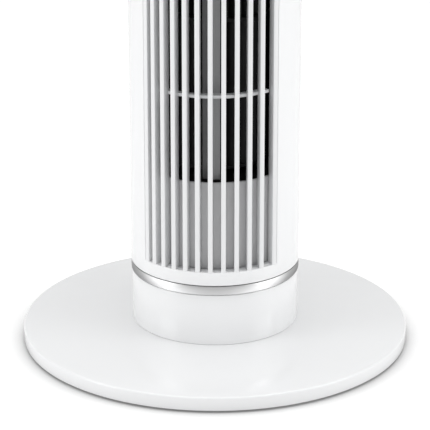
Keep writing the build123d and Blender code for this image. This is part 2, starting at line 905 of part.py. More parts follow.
def scroll_radius(angle):
    """Give the scroll's inner radius, which closes in on the wheel as it goes round."""
    share = (angle - scroll_mouth) / (scroll_end - scroll_mouth)
    return wheel_radius + scroll_start_gap + share * (scroll_end_gap - scroll_start_gap)


scroll_points = [scroll_mouth, (scroll_mouth + scroll_end) / 2, scroll_end]
with BuildPart() as scroll_duct:
    with BuildSketch(Plane.XY.offset(cover_top)):
        with BuildLine():
            Line(around(mouth_radius, -mouth_angle), around(scroll_radius(scroll_mouth), scroll_mouth))
            ThreePointArc(*[around(scroll_radius(angle), angle) for angle in scroll_points])
            Line(
                around(scroll_radius(scroll_end), scroll_end),
                around(scroll_radius(scroll_end) + duct_wall, scroll_end),
            )
            ThreePointArc(
                *[around(scroll_radius(angle) + duct_wall, angle) for angle in reversed(scroll_points)]
            )
            Line(
                around(scroll_radius(scroll_mouth) + duct_wall, scroll_mouth),
                around(mouth_radius, -mouth_angle - scroll_lip),
            )
            Line(around(mouth_radius, -mouth_angle - scroll_lip), around(mouth_radius, -mouth_angle))
        make_face()
    extrude(amount=chamber_height)
save(scroll_duct, "scroll_duct")

tongue_nose = wheel_radius + tongue_gap
with BuildPart() as vortex_tongue:
    with BuildSketch(Plane.XY.offset(cover_top)) as tongue_outline:
        with BuildLine():
            Polyline(
                around(mouth_radius, mouth_angle),
                around(tongue_nose, mouth_angle + tongue_start),
                around(tongue_nose, mouth_angle + tongue_end),
                around(tongue_nose + duct_wall, mouth_angle + tongue_end),
                around(mouth_radius, mouth_angle + tongue_foot),
                close=True,
            )
        make_face()
        fillet(tongue_outline.vertices().sort_by(Axis.Y)[-2:], radius=tongue_round)
    extrude(amount=chamber_height)
save(vortex_tongue, "vortex_tongue")

with BuildPart() as duct_strut:
    strut_inner = wheel_radius + strut_gap
    with BuildSketch(Plane.XY.offset(cover_top)):
        add(sector(strut_inner, strut_inner + strut_wall, strut_start, strut_end))
    extrude(amount=chamber_height)
    fillet(duct_strut.edges().filter_by(Axis.Z), radius=strut_round)
save(duct_strut, "duct_strut")

# Column shells
head_level = (outlet_top + shell_top) / 2


def rounded_slot(width, height, corner, level, gap):
    """Sketch a rounded rectangle in the XZ plane, grown by a gap."""
    with BuildSketch(mode=Mode.PRIVATE) as shape:
        with Locations((0, level)):
            RectangleRounded(width + 2 * gap, height + 2 * gap, corner + gap)
    return shape.sketch


with BuildPart() as front_shell:
    with BuildSketch(Plane.XY.offset(column_bottom)):
        add(sector(shell_inner, column_radius, -shell_seam, shell_seam))
    extrude(amount=shell_top - column_bottom)
    with BuildSketch(Plane.XY.offset(column_bottom)):
        add(sector(column_radius - lip_width, shell_inner, -shell_seam, shell_seam))
    extrude(amount=lip_height)
    with BuildSketch(Plane.XY.offset(outlet_bottom)):
        add(sector(hub_radius, base_radius, -outlet_half_angle, outlet_half_angle))
    extrude(amount=outlet_height, mode=Mode.SUBTRACT)
    with BuildSketch(Plane.XZ):
        add(rounded_slot(window_width, window_height, window_corner, head_level, fit_gap))
    extrude(amount=2 * column_radius, mode=Mode.SUBTRACT)
save(front_shell, "front_shell")

inlet_bottom = outlet_bottom + inlet_margin
inlet_tier = (outlet_height - 2 * inlet_margin + inlet_bar) / tier_count
with BuildPart() as rear_shell:
    with BuildSketch(Plane.XY.offset(column_bottom)):
        add(sector(shell_inner, column_radius, shell_seam, 360 - shell_seam))
    extrude(amount=shell_top - column_bottom)
    with BuildSketch(Plane.XY.offset(column_bottom)):
        add(sector(column_radius - lip_width, shell_inner, shell_seam, 360 - shell_seam))
    extrude(amount=lip_height)
    slot_angle = degrees(inlet_slot_width / column_radius)
    slot_pitch = 2 * inlet_half_angle / (inlet_slots - 1)
    for tier in range(tier_count):
        with BuildSketch(Plane.XY.offset(inlet_bottom + tier * inlet_tier)):
            for index in range(inlet_slots):
                middle = 180 - inlet_half_angle + index * slot_pitch
                add(
                    sector(
                        shell_inner - shell_wall,
                        column_radius + shell_wall,
                        middle - slot_angle / 2,
                        middle + slot_angle / 2,
                    )
                )
        extrude(amount=inlet_tier - inlet_bar, mode=Mode.SUBTRACT)
    with BuildSketch(Plane.XZ):
        add(
            rounded_slot(
                hold_width + 2 * hold_wall,
                hold_height + 2 * hold_wall,
                hold_corner + hold_wall,
                head_level,
                fit_gap,
            )
        )
    extrude(amount=-2 * column_radius, mode=Mode.SUBTRACT)
save(rear_shell, "rear_shell")

with BuildPart() as handle_cup:
    cup_back = column_radius - hold_depth
    with BuildSketch(Plane.XZ.offset(-cup_back + hold_wall)):
        add(
            rounded_slot(
                hold_width + 2 * hold_wall,
                hold_height + 2 * hold_wall,
                hold_corner + hold_wall,
                head_level,
                0,
            )
        )
    extrude(amount=-column_radius)
    with BuildSketch(Plane.XZ.offset(-cup_back)):
        add(rounded_slot(hold_width, hold_height, hold_corner, head_level, 0))
    extrude(amount=-column_radius, mode=Mode.SUBTRACT)
    Cylinder(column_radius, 2 * cap_top, mode=Mode.INTERSECT)
save(handle_cup, "handle_cup")

# Front grille: tapered fins that fan out from a line behind the wheel, on curved ribs
corner_share = 1 - cos(pi / 4)
fin_limit = outlet_half_angle - degrees((fin_front_width / 2 + fin_side_gap) / fin_front)
fin_angles = []
for index in range(fin_count):
    angle = fin_first + index * (fin_step + index * fin_step_growth)
    fin_angles.append(max(-fin_limit, min(fin_limit, angle)))
fin_angles[0] = -fin_limit
fin_angles[-1] = fin_limit


def fin(angle):
    """Sketch the section of the fin whose face stands at the angle from the front."""
    front_x, front_y = around(fin_front, angle)
    reach_x = front_x - fin_focus[0]
    reach_y = front_y - fin_focus[1]
    reach = hypot(reach_x, reach_y)
    along = (reach_x / reach, reach_y / reach)
    across = (-along[1], along[0])

    def place(depth, side):
        """Give a point at a depth behind the face and a distance to one side."""
        return (
            front_x - along[0] * depth + across[0] * side,
            front_y - along[1] * depth + across[1] * side,
        )

    front = fin_front_width / 2
    back = fin_back_width / 2
    with BuildSketch(mode=Mode.PRIVATE) as shape:
        with BuildLine():
            Polyline(
                place(fin_edge, front),
                place(fin_depth, back),
                place(fin_depth, -back),
                place(fin_edge, -front),
            )
            ThreePointArc(
                place(fin_edge, -front),
                place(fin_edge * corner_share, fin_edge * corner_share - front),
                place(0, fin_edge - front),
            )
            Line(place(0, fin_edge - front), place(0, front - fin_edge))
            ThreePointArc(
                place(0, front - fin_edge),
                place(fin_edge * corner_share, front - fin_edge * corner_share),
                place(fin_edge, front),
            )
        make_face()
    return shape.sketch


grille_tier = outlet_height / tier_count
rib_outer = fin_back + rib_overlap
end_reach = mouth_angle - grille_end_angle
with BuildPart() as front_grille:
    with BuildSketch(Plane.XY.offset(outlet_bottom)):
        for angle in fin_angles:
            add(fin(angle))
    extrude(amount=outlet_height)
    for level in (outlet_bottom - grille_end_height, outlet_top):
        with BuildSketch(Plane.XY.offset(level)):
            add(sector(fin_back, shell_inner - fit_gap, -end_reach, end_reach))
        extrude(amount=grille_end_height)
    for tier in range(1, tier_count):
        with BuildSketch(Plane.XY.offset(outlet_bottom + tier * grille_tier - rib_height / 2)):
            add(sector(rib_outer - rib_depth, rib_outer, fin_angles[1], fin_angles[-1]))
        extrude(amount=rib_height)
save(front_grille, "front_grille")

with BuildPart() as display_window:
    with BuildSketch(Plane.XZ):
        add(rounded_slot(window_width, window_height, window_corner, head_level, 0))
    extrude(amount=2 * column_radius)
    with BuildSketch(Plane.XY.offset(outlet_top)):
        add(
            sector(
                column_radius - window_wall - window_sink,
                column_radius - window_sink,
                -shell_seam,
                shell_seam,
            )
        )
    extrude(amount=head_height, mode=Mode.INTERSECT)
save(display_window, "display_window")

# Top of the column
with BuildPart() as top_trim_ring:
    with BuildSketch(Plane.XZ):
        add(trim_outline(shell_top, shell_inner - fit_gap - tongue_wall, shell_inner - fit_gap))
    revolve(axis=Axis.Z)
save(top_trim_ring, "top_trim_ring")

panel_top = cap_top - panel_sink
panel_bottom = panel_top - panel_wall
panel_hole = panel_radius + fit_gap
with BuildPart() as top_cap:
    with BuildSketch(Plane.XZ):
        with BuildLine():
            Line((column_radius - cap_wall, cap_bottom), (column_radius, cap_bottom))
            Line((column_radius, cap_bottom), (column_radius, cap_top - cap_round))
            RadiusArc(
                (column_radius, cap_top - cap_round), (column_radius - cap_round, cap_top), -cap_round
            )
            Polyline(
                (column_radius - cap_round, cap_top),
                (panel_hole, cap_top),
                (panel_hole, panel_bottom),
                (panel_hole - panel_ledge, panel_bottom),
                (panel_hole - panel_ledge, panel_bottom - cap_wall),
                (column_radius - cap_round, panel_bottom - cap_wall),
            )
            Line(
                (column_radius - cap_round, panel_bottom - cap_wall),
                (column_radius - cap_wall, cap_top - cap_round - cap_wall),
            )
            Line(
                (column_radius - cap_wall, cap_top - cap_round - cap_wall),
                (column_radius - cap_wall, cap_bottom),
            )
        make_face()
    revolve(axis=Axis.Z)
save(top_cap, "top_cap")

button_count = len(button_names)
button_angles = [(index - (button_count - 1) / 2) * button_spread for index in range(button_count)]
button_places = [around(button_circle, angle) for angle in button_angles]
lens_places = [around(button_circle + lens_offset, angle) for angle in button_angles]
board_top = cap_top - control_board_drop

with BuildPart() as control_panel:
    with BuildSketch(Plane.XY.offset(panel_bottom)):
        Circle(panel_radius)
        with Locations(*button_places):
            Circle(button_radius + button_gap, mode=Mode.SUBTRACT)
        with Locations(*lens_places):
            Circle(lens_radius + fit_gap, mode=Mode.SUBTRACT)
    extrude(amount=panel_wall)
    with BuildSketch(Plane.XY.offset(board_top)):
        with PolarLocations(board_post_circle, board_post_count, start_angle=-90):
            Circle(board_post_radius)
    extrude(amount=panel_bottom - board_top)
save(control_panel, "control_panel")

with BuildPart() as indicator_lenses:
    with BuildSketch(Plane.XY.offset(panel_bottom)):
        with Locations(*lens_places):
            Circle(lens_radius)
    extrude(amount=panel_wall + lens_proud)
    chamfer(indicator_lenses.edges().group_by(Axis.Z)[-1], length=lens_proud / 2)
save(indicator_lenses, "indicator_lenses")

with BuildPart() as control_board:
    with BuildSketch(Plane.XY.offset(board_top)):
        Circle(control_board_radius)
    extrude(amount=-board_wall)
save(control_board, "control_board")

with BuildPart() as button_switches:
    with BuildSketch(Plane.XY.offset(board_top)):
        with Locations(*button_places):
            Rectangle(switch_size, switch_size)
    extrude(amount=switch_height)
    with BuildSketch(Plane.XY.offset(board_top + switch_height)):
        with Locations(*button_places):
            Circle(plunger_radius)
    extrude(amount=plunger_height)
save(button_switches, "button_switches")

plunger_top = board_top + switch_height + plunger_height
stem_bottom = plunger_top + button_travel + button_spare
for name, place in zip(button_names, button_places):
    with BuildPart() as push_button:
        with BuildSketch(Plane.XY.offset(panel_bottom - slide_gap)):
            with Locations(place):
                Circle(button_radius)
        extrude(amount=slide_gap + panel_wall + button_proud)
        fillet(push_button.edges().group_by(Axis.Z)[-1], radius=button_edge)
        with BuildSketch(Plane.XY.offset(panel_bottom - slide_gap)):
            with Locations(place):
                Circle(button_radius + button_flange)
        extrude(amount=-button_flange_wall)
        with BuildSketch(Plane.XY.offset(panel_bottom - slide_gap - button_flange_wall)):
            with Locations(place):
                Circle(button_stem_radius)
        extrude(amount=stem_bottom - panel_bottom + slide_gap + button_flange_wall)
    save(push_button, f"button_{name}")
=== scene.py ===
import json
from math import acos, cos, degrees, hypot, pi, radians, sin

import bpy
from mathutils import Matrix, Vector


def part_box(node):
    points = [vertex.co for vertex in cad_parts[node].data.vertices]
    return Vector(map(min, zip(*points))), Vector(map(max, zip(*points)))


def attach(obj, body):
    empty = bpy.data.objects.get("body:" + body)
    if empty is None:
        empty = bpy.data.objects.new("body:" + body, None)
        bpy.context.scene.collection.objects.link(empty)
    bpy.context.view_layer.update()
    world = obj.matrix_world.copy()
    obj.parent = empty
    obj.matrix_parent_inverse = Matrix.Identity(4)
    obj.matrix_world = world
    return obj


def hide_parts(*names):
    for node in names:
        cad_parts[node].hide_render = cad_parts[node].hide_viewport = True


bl_info = {
    "name": "Tower Fan",
    "version": (1, 0, 0),
    "blender": (4, 5, 0),
    "location": "View3D > Sidebar > Tower Fan",
    "description": "Models the mouldings, grille and controls of a tower fan round its mechanism",
    "category": "Add Mesh",
}

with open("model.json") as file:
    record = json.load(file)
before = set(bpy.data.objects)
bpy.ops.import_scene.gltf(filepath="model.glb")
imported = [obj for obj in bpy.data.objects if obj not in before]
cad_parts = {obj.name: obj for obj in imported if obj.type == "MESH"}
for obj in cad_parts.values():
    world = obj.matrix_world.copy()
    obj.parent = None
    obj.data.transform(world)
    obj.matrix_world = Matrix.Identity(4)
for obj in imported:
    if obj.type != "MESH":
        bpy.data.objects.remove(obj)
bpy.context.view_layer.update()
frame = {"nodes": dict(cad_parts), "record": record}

MM = 0.001
FULL_TURN = 360.0


def low(node, axis=2):
    """Give the lowest coordinate of a node of the mechanism."""
    return round(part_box(node)[0][axis], 5)


def high(node, axis=2):
    """Give the highest coordinate of a node of the mechanism."""
    return round(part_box(node)[1][axis], 5)


GRILLE_PLATE = 2.6 * MM
MOTOR_BAY = 68.8 * MM

# Levels and radii taken from the mechanism, so that the mouldings seat on it
UNDERSIDE = low("base_disc")
COLLAR_SEAT = high("base_disc")
COLLAR_TOP = high("pedestal_collar")
COLUMN_BOTTOM = low("front_shell")
SHELL_TOP = high("front_shell")
CAP_TOP = high("top_cap")
CAP_BOTTOM = low("top_cap")
PANEL_TOP = high("control_panel")
OUTLET_BOTTOM = low("scroll_duct") - MOTOR_BAY
OUTLET_TOP = high("front_grille") - GRILLE_PLATE
COVER_BOTTOM = low("motor_cover")
COVER_TOP = high("motor_cover")
BASE_RADIUS = high("base_disc", 0)
COLLAR_RADIUS = high("pedestal_collar", 0)
COLUMN_RADIUS = high("front_shell", 0)
RING_RADIUS = high("trim_ring", 0)

# Fixed measures of the mouldings, with angles in degrees from the front
OUTLET_HALF_ANGLE = 50.4
SEAM_ANGLE = 97.0
MERGE_REACH = 0.005 * MM
RIM_HEIGHT = 10.8 * MM
FOOT_ROUND = 0.8 * MM
CROWN_SWELL = 0.6 * MM
BAND_GROOVE = 0.65 * MM
COVER_HALF_ANGLE = 58.0
COVER_SETBACK = 9.2 * MM
COVER_THICKNESS = 2 * MM
SHADE_SHEET_THICKNESS = 0.6 * MM
GUIDE_INNER = 46.5 * MM
GUIDE_OUTER = 49 * MM
GRILLE_FACE = COLUMN_RADIUS - 0.2 * MM
FIN_FOCUS = Vector((4.9 * MM, 29.2 * MM, 0))
FIN_END_SPARE = 2.7 * MM
FIN_FIRST = -48.9
FIN_STEP = 7.94
FIN_STEP_GROWTH = 0.066
RIB_COUNT = 3
RIB_HEIGHT = 2.4 * MM
RIB_DEPTH = 5.2 * MM
LIP_HEIGHT = 2 * MM
LIP_DEPTH = 4.4 * MM
OPENING_GAP = 0.3 * MM
INLET_SLOTS = 19
INLET_HALF_FIELD = 62.0
INLET_SLOT_WIDTH = 4.0 * MM
INLET_TIERS = 4
INLET_BAR = 9 * MM
INLET_MARGIN = 16 * MM
PANEL_THICKNESS = 2 * MM
SCREW_CIRCLE = 100 * MM
SCREW_COUNT = 6
KEY_CIRCLE = 30 * MM
PRINT_RISE = 0.06 * MM
KEY_ANGLES = {"power": -51.0, "speed": -17.0, "swing": 17.0, "timer": 51.0}

# Strokes of each key's symbol, in millimetres and degrees about the key's centre.
# An arc has its radius, start and sweep, and a bar has its place, size and turn.
STROKE = 0.55
SYMBOLS = {
    "power": [("arc", 2.1, -150, 300), ("bar", 0, 1.7, STROKE, 2.2, 0)],
    "speed": [
        ("bar", -1.4, -0.9, 0.66, 1.4, 0), ("bar", 0, -0.45, 0.66, 2.3, 0), ("bar", 1.4, 0, 0.66, 3.2, 0),
    ],
    "swing": [
        ("arc", 2.1, -75, 150), ("bar", -2, -0.2, 1.3, STROKE, 40), ("bar", 2, -0.2, 1.3, STROKE, -40),
    ],
    "timer": [
        ("arc", 2.2, 0, FULL_TURN), ("bar", 0, 0.7, STROKE, 1.6, 0), ("bar", 0.6, 0, 1.3, STROKE, 0),
    ],
}


class FanSizes(bpy.types.PropertyGroup):
    """Sizes of the mouldings that a user may change."""

    base_radius: bpy.props.FloatProperty(
        name="Base Radius", description="Radius of the floor disc", default=BASE_RADIUS, unit="LENGTH"
    )
    base_edge: bpy.props.FloatProperty(
        name="Base Edge", description="Rounding of the disc's upper rim", default=0.0016, unit="LENGTH"
    )
    wall: bpy.props.FloatProperty(
        name="Wall", description="Wall of the shells and of the disc", default=0.0025, unit="LENGTH"
    )
    outlet_half_angle: bpy.props.FloatProperty(
        name="Outlet Half Angle",
        description="How far the air outlet reaches round the column on each side",
        default=radians(OUTLET_HALF_ANGLE),
        subtype="ANGLE",
        unit="ROTATION",
    )
    shell_seam: bpy.props.FloatProperty(
        name="Shell Seam",
        description="Where the front shell meets the rear shell",
        default=radians(SEAM_ANGLE),
        subtype="ANGLE",
        unit="ROTATION",
    )
    fin_count: bpy.props.IntProperty(
        name="Fins", description="Number of fins of the front grille", default=12, min=3, max=24
    )
    fin_width: bpy.props.FloatProperty(
        name="Fin Width", description="Width of a fin's front face", default=0.0036, unit="LENGTH"
    )
    fin_back_width: bpy.props.FloatProperty(
        name="Fin Back Width", description="Width of a fin's back edge", default=0.0022, unit="LENGTH"
    )
    fin_depth: bpy.props.FloatProperty(
        name="Fin Depth", description="Depth of a fin", default=0.0086, unit="LENGTH"
    )
    edge: bpy.props.FloatProperty(
        name="Edge Rounding", description="Rounding of moulded edges", default=0.0006, unit="LENGTH"
    )
    ring_swell: bpy.props.FloatProperty(
        name="Ring Swell", description="How far the satin band bulges", default=0.00035, unit="LENGTH"
    )


class FanColours(bpy.types.PropertyGroup):
    """Colours of the finishes that a user may change."""

    shell: bpy.props.FloatVectorProperty(
        name="Shell", description="Glossy white of the shells", default=(0.84, 0.845, 0.85), subtype="COLOR"
    )
    grille: bpy.props.FloatVectorProperty(
        name="Grille", description="Satin white of the grille", default=(0.8, 0.805, 0.81), subtype="COLOR"
    )
    cover: bpy.props.FloatVectorProperty(
        name="Motor Cover",
        description="Pale grey behind the grille",
        default=(0.6, 0.6, 0.605),
        subtype="COLOR",
    )
    # The bands' colour at the painted highlight; the painted reflection tones multiply it down elsewhere
    silver: bpy.props.FloatVectorProperty(
        name="Silver",
        description="Satin silver of the bands at its brightest",
        default=(0.97, 0.97, 0.97),
        subtype="COLOR",
    )
    panel: bpy.props.FloatVectorProperty(
        name="Panel", description="Grey inlay on the top", default=(0.34, 0.35, 0.37), subtype="COLOR"
    )
    dark: bpy.props.FloatVectorProperty(
        name="Air Chamber",
        description="Black of the air chamber",
        default=(0.005, 0.005, 0.0055),
        subtype="COLOR",
    )
    symbol: bpy.props.FloatVectorProperty(
        name="Symbols", description="Grey print on the keys", default=(0.16, 0.17, 0.18), subtype="COLOR"
    )


# Looks: shader node groups that give a colour, a roughness and a height


def start_look(name, colour, **settings):
    """Start a look, a node group with a colour and settings, and give its inputs and place too."""
    look = bpy.data.node_groups.new(name, "ShaderNodeTree")
    sockets = look.interface
    tint = sockets.new_socket(name="Colour", in_out="INPUT", socket_type="NodeSocketColor")
    tint.default_value = (*colour, 1.0)
    for label, value in settings.items():
        label = label.replace("_", " ").title()
        socket = sockets.new_socket(name=label, in_out="INPUT", socket_type="NodeSocketFloat")
        socket.default_value = value
    sockets.new_socket(name="Colour", in_out="OUTPUT", socket_type="NodeSocketColor")
    for label in ("Roughness", "Height"):
        sockets.new_socket(name=label, in_out="OUTPUT", socket_type="NodeSocketFloat")
    given = look.nodes.new("NodeGroupInput").outputs
    return look, given, look.nodes.new("ShaderNodeTexCoord").outputs["Object"]


def end_look(look, colour, roughness, height):
    """Send a look's three results out of its group."""
    outlet = look.nodes.new("NodeGroupOutput")
    look.links.new(colour, outlet.inputs["Colour"])
    look.links.new(roughness, outlet.inputs["Roughness"])
    look.links.new(height, outlet.inputs["Height"])


def feed(tree, socket, value):
    """Give a socket a number, or link another socket to it."""
    if isinstance(value, (int, float)):
        socket.default_value = value
    else:
        tree.links.new(value, socket)


def noise(tree, scale, detail, vector):
    """Add a noise texture that reads the given vector."""
    texture = tree.nodes.new("ShaderNodeTexNoise")
    texture.inputs["Detail"].default_value = detail
    tree.links.new(vector, texture.inputs["Vector"])
    feed(tree, texture.inputs["Scale"], scale)
    return texture.outputs["Fac"]


def spread(tree, value, low_end, high_end):
    """Map a noise value to a range whose ends may be sockets or numbers."""
    node = tree.nodes.new("ShaderNodeMapRange")
    node.inputs["From Min"].default_value = 0.3
    node.inputs["From Max"].default_value = 0.7
    tree.links.new(value, node.inputs["Value"])
    feed(tree, node.inputs["To Min"], low_end)
    feed(tree, node.inputs["To Max"], high_end)
    return node.outputs["Result"]


def shade(tree, colour, factor, deeper):
    """Multiply a colour towards a deeper one where the factor is high."""
    node = tree.nodes.new("ShaderNodeMix")
    node.data_type = "RGBA"
    node.blend_type = "MULTIPLY"
    node.inputs["B"].default_value = (*deeper, 1.0)
    tree.links.new(colour, node.inputs["A"])
    tree.links.new(factor, node.inputs["Factor"])
    return node.outputs["Result"]


def moulding_look():
    """Build the look of moulded plastic: faint clouding, sink marks and a fine grain."""
    look, given, place = start_look(
        "moulded_plastic", (0.8, 0.8, 0.8), clouding=0.3, grain_scale=2500.0, smoothest=0.2, roughest=0.3
    )
    clouds = noise(look, 9.0, 3.0, place)
    marks = noise(look, 60.0, 4.0, place)
    grain = noise(look, given["Grain Scale"], 2.0, place)
    amount = look.nodes.new("ShaderNodeMath")
    amount.operation = "MULTIPLY"
    look.links.new(clouds, amount.inputs[0])
    look.links.new(given["Clouding"], amount.inputs[1])
    tinted = shade(look, given["Colour"], amount.outputs[0], (0.93, 0.935, 0.95))
    end_look(look, tinted, spread(look, marks, given["Smoothest"], given["Roughest"]), grain)


def turned_look():
    """Build the look of turned or drawn metal: fine lines that run round the column."""
    look, given, place = start_look(
        "turned_metal", (0.6, 0.6, 0.6), line_scale=1.0, smoothest=0.2, roughest=0.35
    )
    stretch = look.nodes.new("ShaderNodeMapping")
    stretch.inputs["Scale"].default_value = (6.0, 6.0, 4200.0)
    look.links.new(place, stretch.inputs["Vector"])
    lines = noise(look, given["Line Scale"], 3.0, stretch.outputs["Vector"])
    blotches = noise(look, 45.0, 3.0, place)
    tinted = shade(look, given["Colour"], lines, (0.86, 0.86, 0.87))
    end_look(look, tinted, spread(look, blotches, given["Smoothest"], given["Roughest"]), lines)


def wound_look():
    """Build the look of varnished wire laid side by side."""
    look, given, place = start_look("wound_wire", (0.6, 0.3, 0.15), wires=500.0)
    wires = look.nodes.new("ShaderNodeTexWave")
    wires.wave_type = "RINGS"
    wires.rings_direction = "Z"
    wires.inputs["Distortion"].default_value = 1.5
    look.links.new(place, wires.inputs["Vector"])
    look.links.new(given["Wires"], wires.inputs["Scale"])
    varnish = noise(look, 120.0, 3.0, place)
    tinted = shade(look, given["Colour"], wires.outputs["Fac"], (0.62, 0.55, 0.5))
    end_look(look, tinted, spread(look, varnish, 0.2, 0.4), wires.outputs["Fac"])


def board_look():
    """Build the look of a lacquered board with copper tracks under the lacquer."""
    look, given, place = start_look("lacquered_board", (0.02, 0.12, 0.05), track_scale=260.0)
    tracks = look.nodes.new("ShaderNodeTexBrick")
    tracks.inputs["Mortar Size"].default_value = 0.06
    for label, grey in (("Color1", 0.25), ("Color2", 0.6), ("Mortar", 1.0)):
        tracks.inputs[label].default_value = (grey, grey, grey, 1.0)
    look.links.new(place, tracks.inputs["Vector"])
    look.links.new(given["Track Scale"], tracks.inputs["Scale"])
    lacquer = noise(look, 300.0, 2.0, place)
    tinted = shade(look, given["Colour"], tracks.outputs["Color"], (0.55, 0.7, 0.6))
    end_look(look, tinted, spread(look, lacquer, 0.25, 0.4), tracks.outputs["Fac"])


# Each look's builder and what its settings are called
LOOKS = {
    "moulded_plastic": (moulding_look, ("Clouding", "Grain Scale", "Smoothest", "Roughest")),
    "turned_metal": (turned_look, ("Line Scale", "Smoothest", "Roughest")),
    "wound_wire": (wound_look, ("Wires",)),
    "lacquered_board": (board_look, ("Track Scale",)),
}


def paint_band_reflection(tree, surface):
    """Paint reflection into a band's colour: a grey middle, bright highlights at the shoulders and dark ends,
    by how far it faces the view.
    """
    tint = surface.inputs["Base Color"].links[0].from_socket
    turn = tree.nodes.new("ShaderNodeLayerWeight")
    turn.inputs["Blend"].default_value = 0.5
    reflection_ramp = tree.nodes.new("ShaderNodeValToRGB")
    reflection_ramp.name = "Brushing"
    # Painted reflection: the grey of each stop, from where the band faces the view out to its edges
    places = [0.05, 0.11, 0.19, 0.33, 0.52, 0.84]
    reflection_greys = [0.56, 0.7, 0.98, 1.0, 0.5, 0.16]
    reflection_ramp.color_ramp.elements[0].position = places[0]
    reflection_ramp.color_ramp.elements[1].position = places[-1]
    for place in places[1:-1]:
        reflection_ramp.color_ramp.elements.new(place)
    for element, grey in zip(reflection_ramp.color_ramp.elements, reflection_greys):
        element.color = (grey, grey, grey, 1.0)
    blend = tree.nodes.new("ShaderNodeMix")
    blend.data_type = "RGBA"
    blend.blend_type = "MULTIPLY"
    blend.inputs["Factor"].default_value = 1.0
    tree.links.new(turn.outputs["Facing"], reflection_ramp.inputs["Fac"])
    tree.links.new(tint, blend.inputs["A"])
    tree.links.new(reflection_ramp.outputs["Color"], blend.inputs["B"])
    tree.links.new(blend.outputs["Result"], surface.inputs["Base Color"])


PLASTIC = "moulded_plastic"
METAL = "turned_metal"
FINE = 0.00005
FELT = 0.00008
COARSE = 0.0001
METALLIC = {"Metallic": 1.0}

# For each slot: material, look, colour or the setting that holds it, bump and its reach,
# settings of the look and inputs of the Principled BSDF
FINISHES = {
    "white_gloss": (
        "gloss_white_moulding", PLASTIC, "shell", 0.02, FINE,
        (0.25, 900.0, 0.16, 0.24), {"Coat Weight": 0.35, "Coat Roughness": 0.06},
    ),
    "grille_white": ("satin_white_moulding", PLASTIC, "grille", 0.05, FINE, (0.3, 2200.0, 0.3, 0.42), {}),
    "cover": ("pale_grey_moulding", PLASTIC, "cover", 0.08, FINE, (0.5, 2600.0, 0.4, 0.55), {}),
    # The guide's two finishes are darker and lighter copies of one grey: painted shade and painted light
    "guide_painted_shade": (
        "guide_moulding_painted_shade", PLASTIC, (0.15, 0.15, 0.153), 0.12, FELT, (0.6, 2400.0, 0.5, 0.65), {},
    ),
    "guide_painted_light": (
        "guide_moulding_painted_light", PLASTIC, (0.42, 0.42, 0.425), 0.12, FELT, (0.6, 2400.0, 0.45, 0.6), {},
    ),
    "grey_plastic": (
        "grey_matte_moulding", PLASTIC, (0.16, 0.16, 0.165), 0.12, FELT, (0.6, 2400.0, 0.45, 0.6), {},
    ),
    "black_plastic": (
        "black_matte_moulding", PLASTIC, "dark", 0.12, FELT,
        (0.6, 2400.0, 0.5, 0.65), {"Specular IOR Level": 0.22},
    ),
    "rubber": ("soft_rubber", PLASTIC, (0.02, 0.02, 0.021), 0.3, COARSE, (0.8, 3200.0, 0.6, 0.8), {}),
    "acetal": (
        "natural_resin", PLASTIC, (0.74, 0.74, 0.69), 0.05, FINE,
        (0.8, 1500.0, 0.3, 0.45), {"Subsurface Weight": 0.1, "Subsurface Scale": 0.001},
    ),
    "smoked": (
        "smoked_window", PLASTIC, (0.008, 0.008, 0.009), 0.01, FINE,
        (0.3, 600.0, 0.05, 0.09), {"Coat Weight": 0.6, "Coat Roughness": 0.03},
    ),
    "panel_grey": ("satin_grey_inlay", PLASTIC, "panel", 0.06, FINE, (0.4, 2600.0, 0.28, 0.4), {}),
    "lens": (
        "frosted_lens", PLASTIC, (0.55, 0.66, 0.7), 0.02, FINE,
        (0.6, 1500.0, 0.12, 0.22), {"Transmission Weight": 0.35, "IOR": 1.49},
    ),
    "key_white": ("satin_key_moulding", PLASTIC, "shell", 0.05, FINE, (0.3, 2600.0, 0.3, 0.4), {}),
    "symbol": ("printed_symbol", PLASTIC, "symbol", 0.04, 0.00003, (0.5, 3000.0, 0.4, 0.5), {}),
    "silver_trim": ("satin_silver_band", METAL, "silver", 0.02, 0.00003, (1.0, 0.3, 0.34), METALLIC),
    "steel": ("zinc_plated_steel", METAL, (0.5, 0.5, 0.51), 0.06, 0.00004, (0.6, 0.28, 0.45), METALLIC),
    "cast_metal": (
        "die_cast_alloy", PLASTIC, (0.5, 0.5, 0.5), 0.35, COARSE,
        (1.0, 1300.0, 0.4, 0.6), {"Metallic": 0.9},
    ),
    "bronze": (
        "sintered_bronze", PLASTIC, (0.42, 0.27, 0.12), 0.3, COARSE, (1.0, 3500.0, 0.4, 0.55), METALLIC,
    ),
    "copper": (
        "varnished_winding", "wound_wire", (0.55, 0.2, 0.08), 0.5, 0.0002,
        (420.0,), {"Metallic": 0.7, "Coat Weight": 0.5},
    ),
    "board_green": (
        "green_board", "lacquered_board", (0.015, 0.12, 0.045), 0.15, COARSE,
        (220.0,), {"Coat Weight": 0.4},
    ),
}


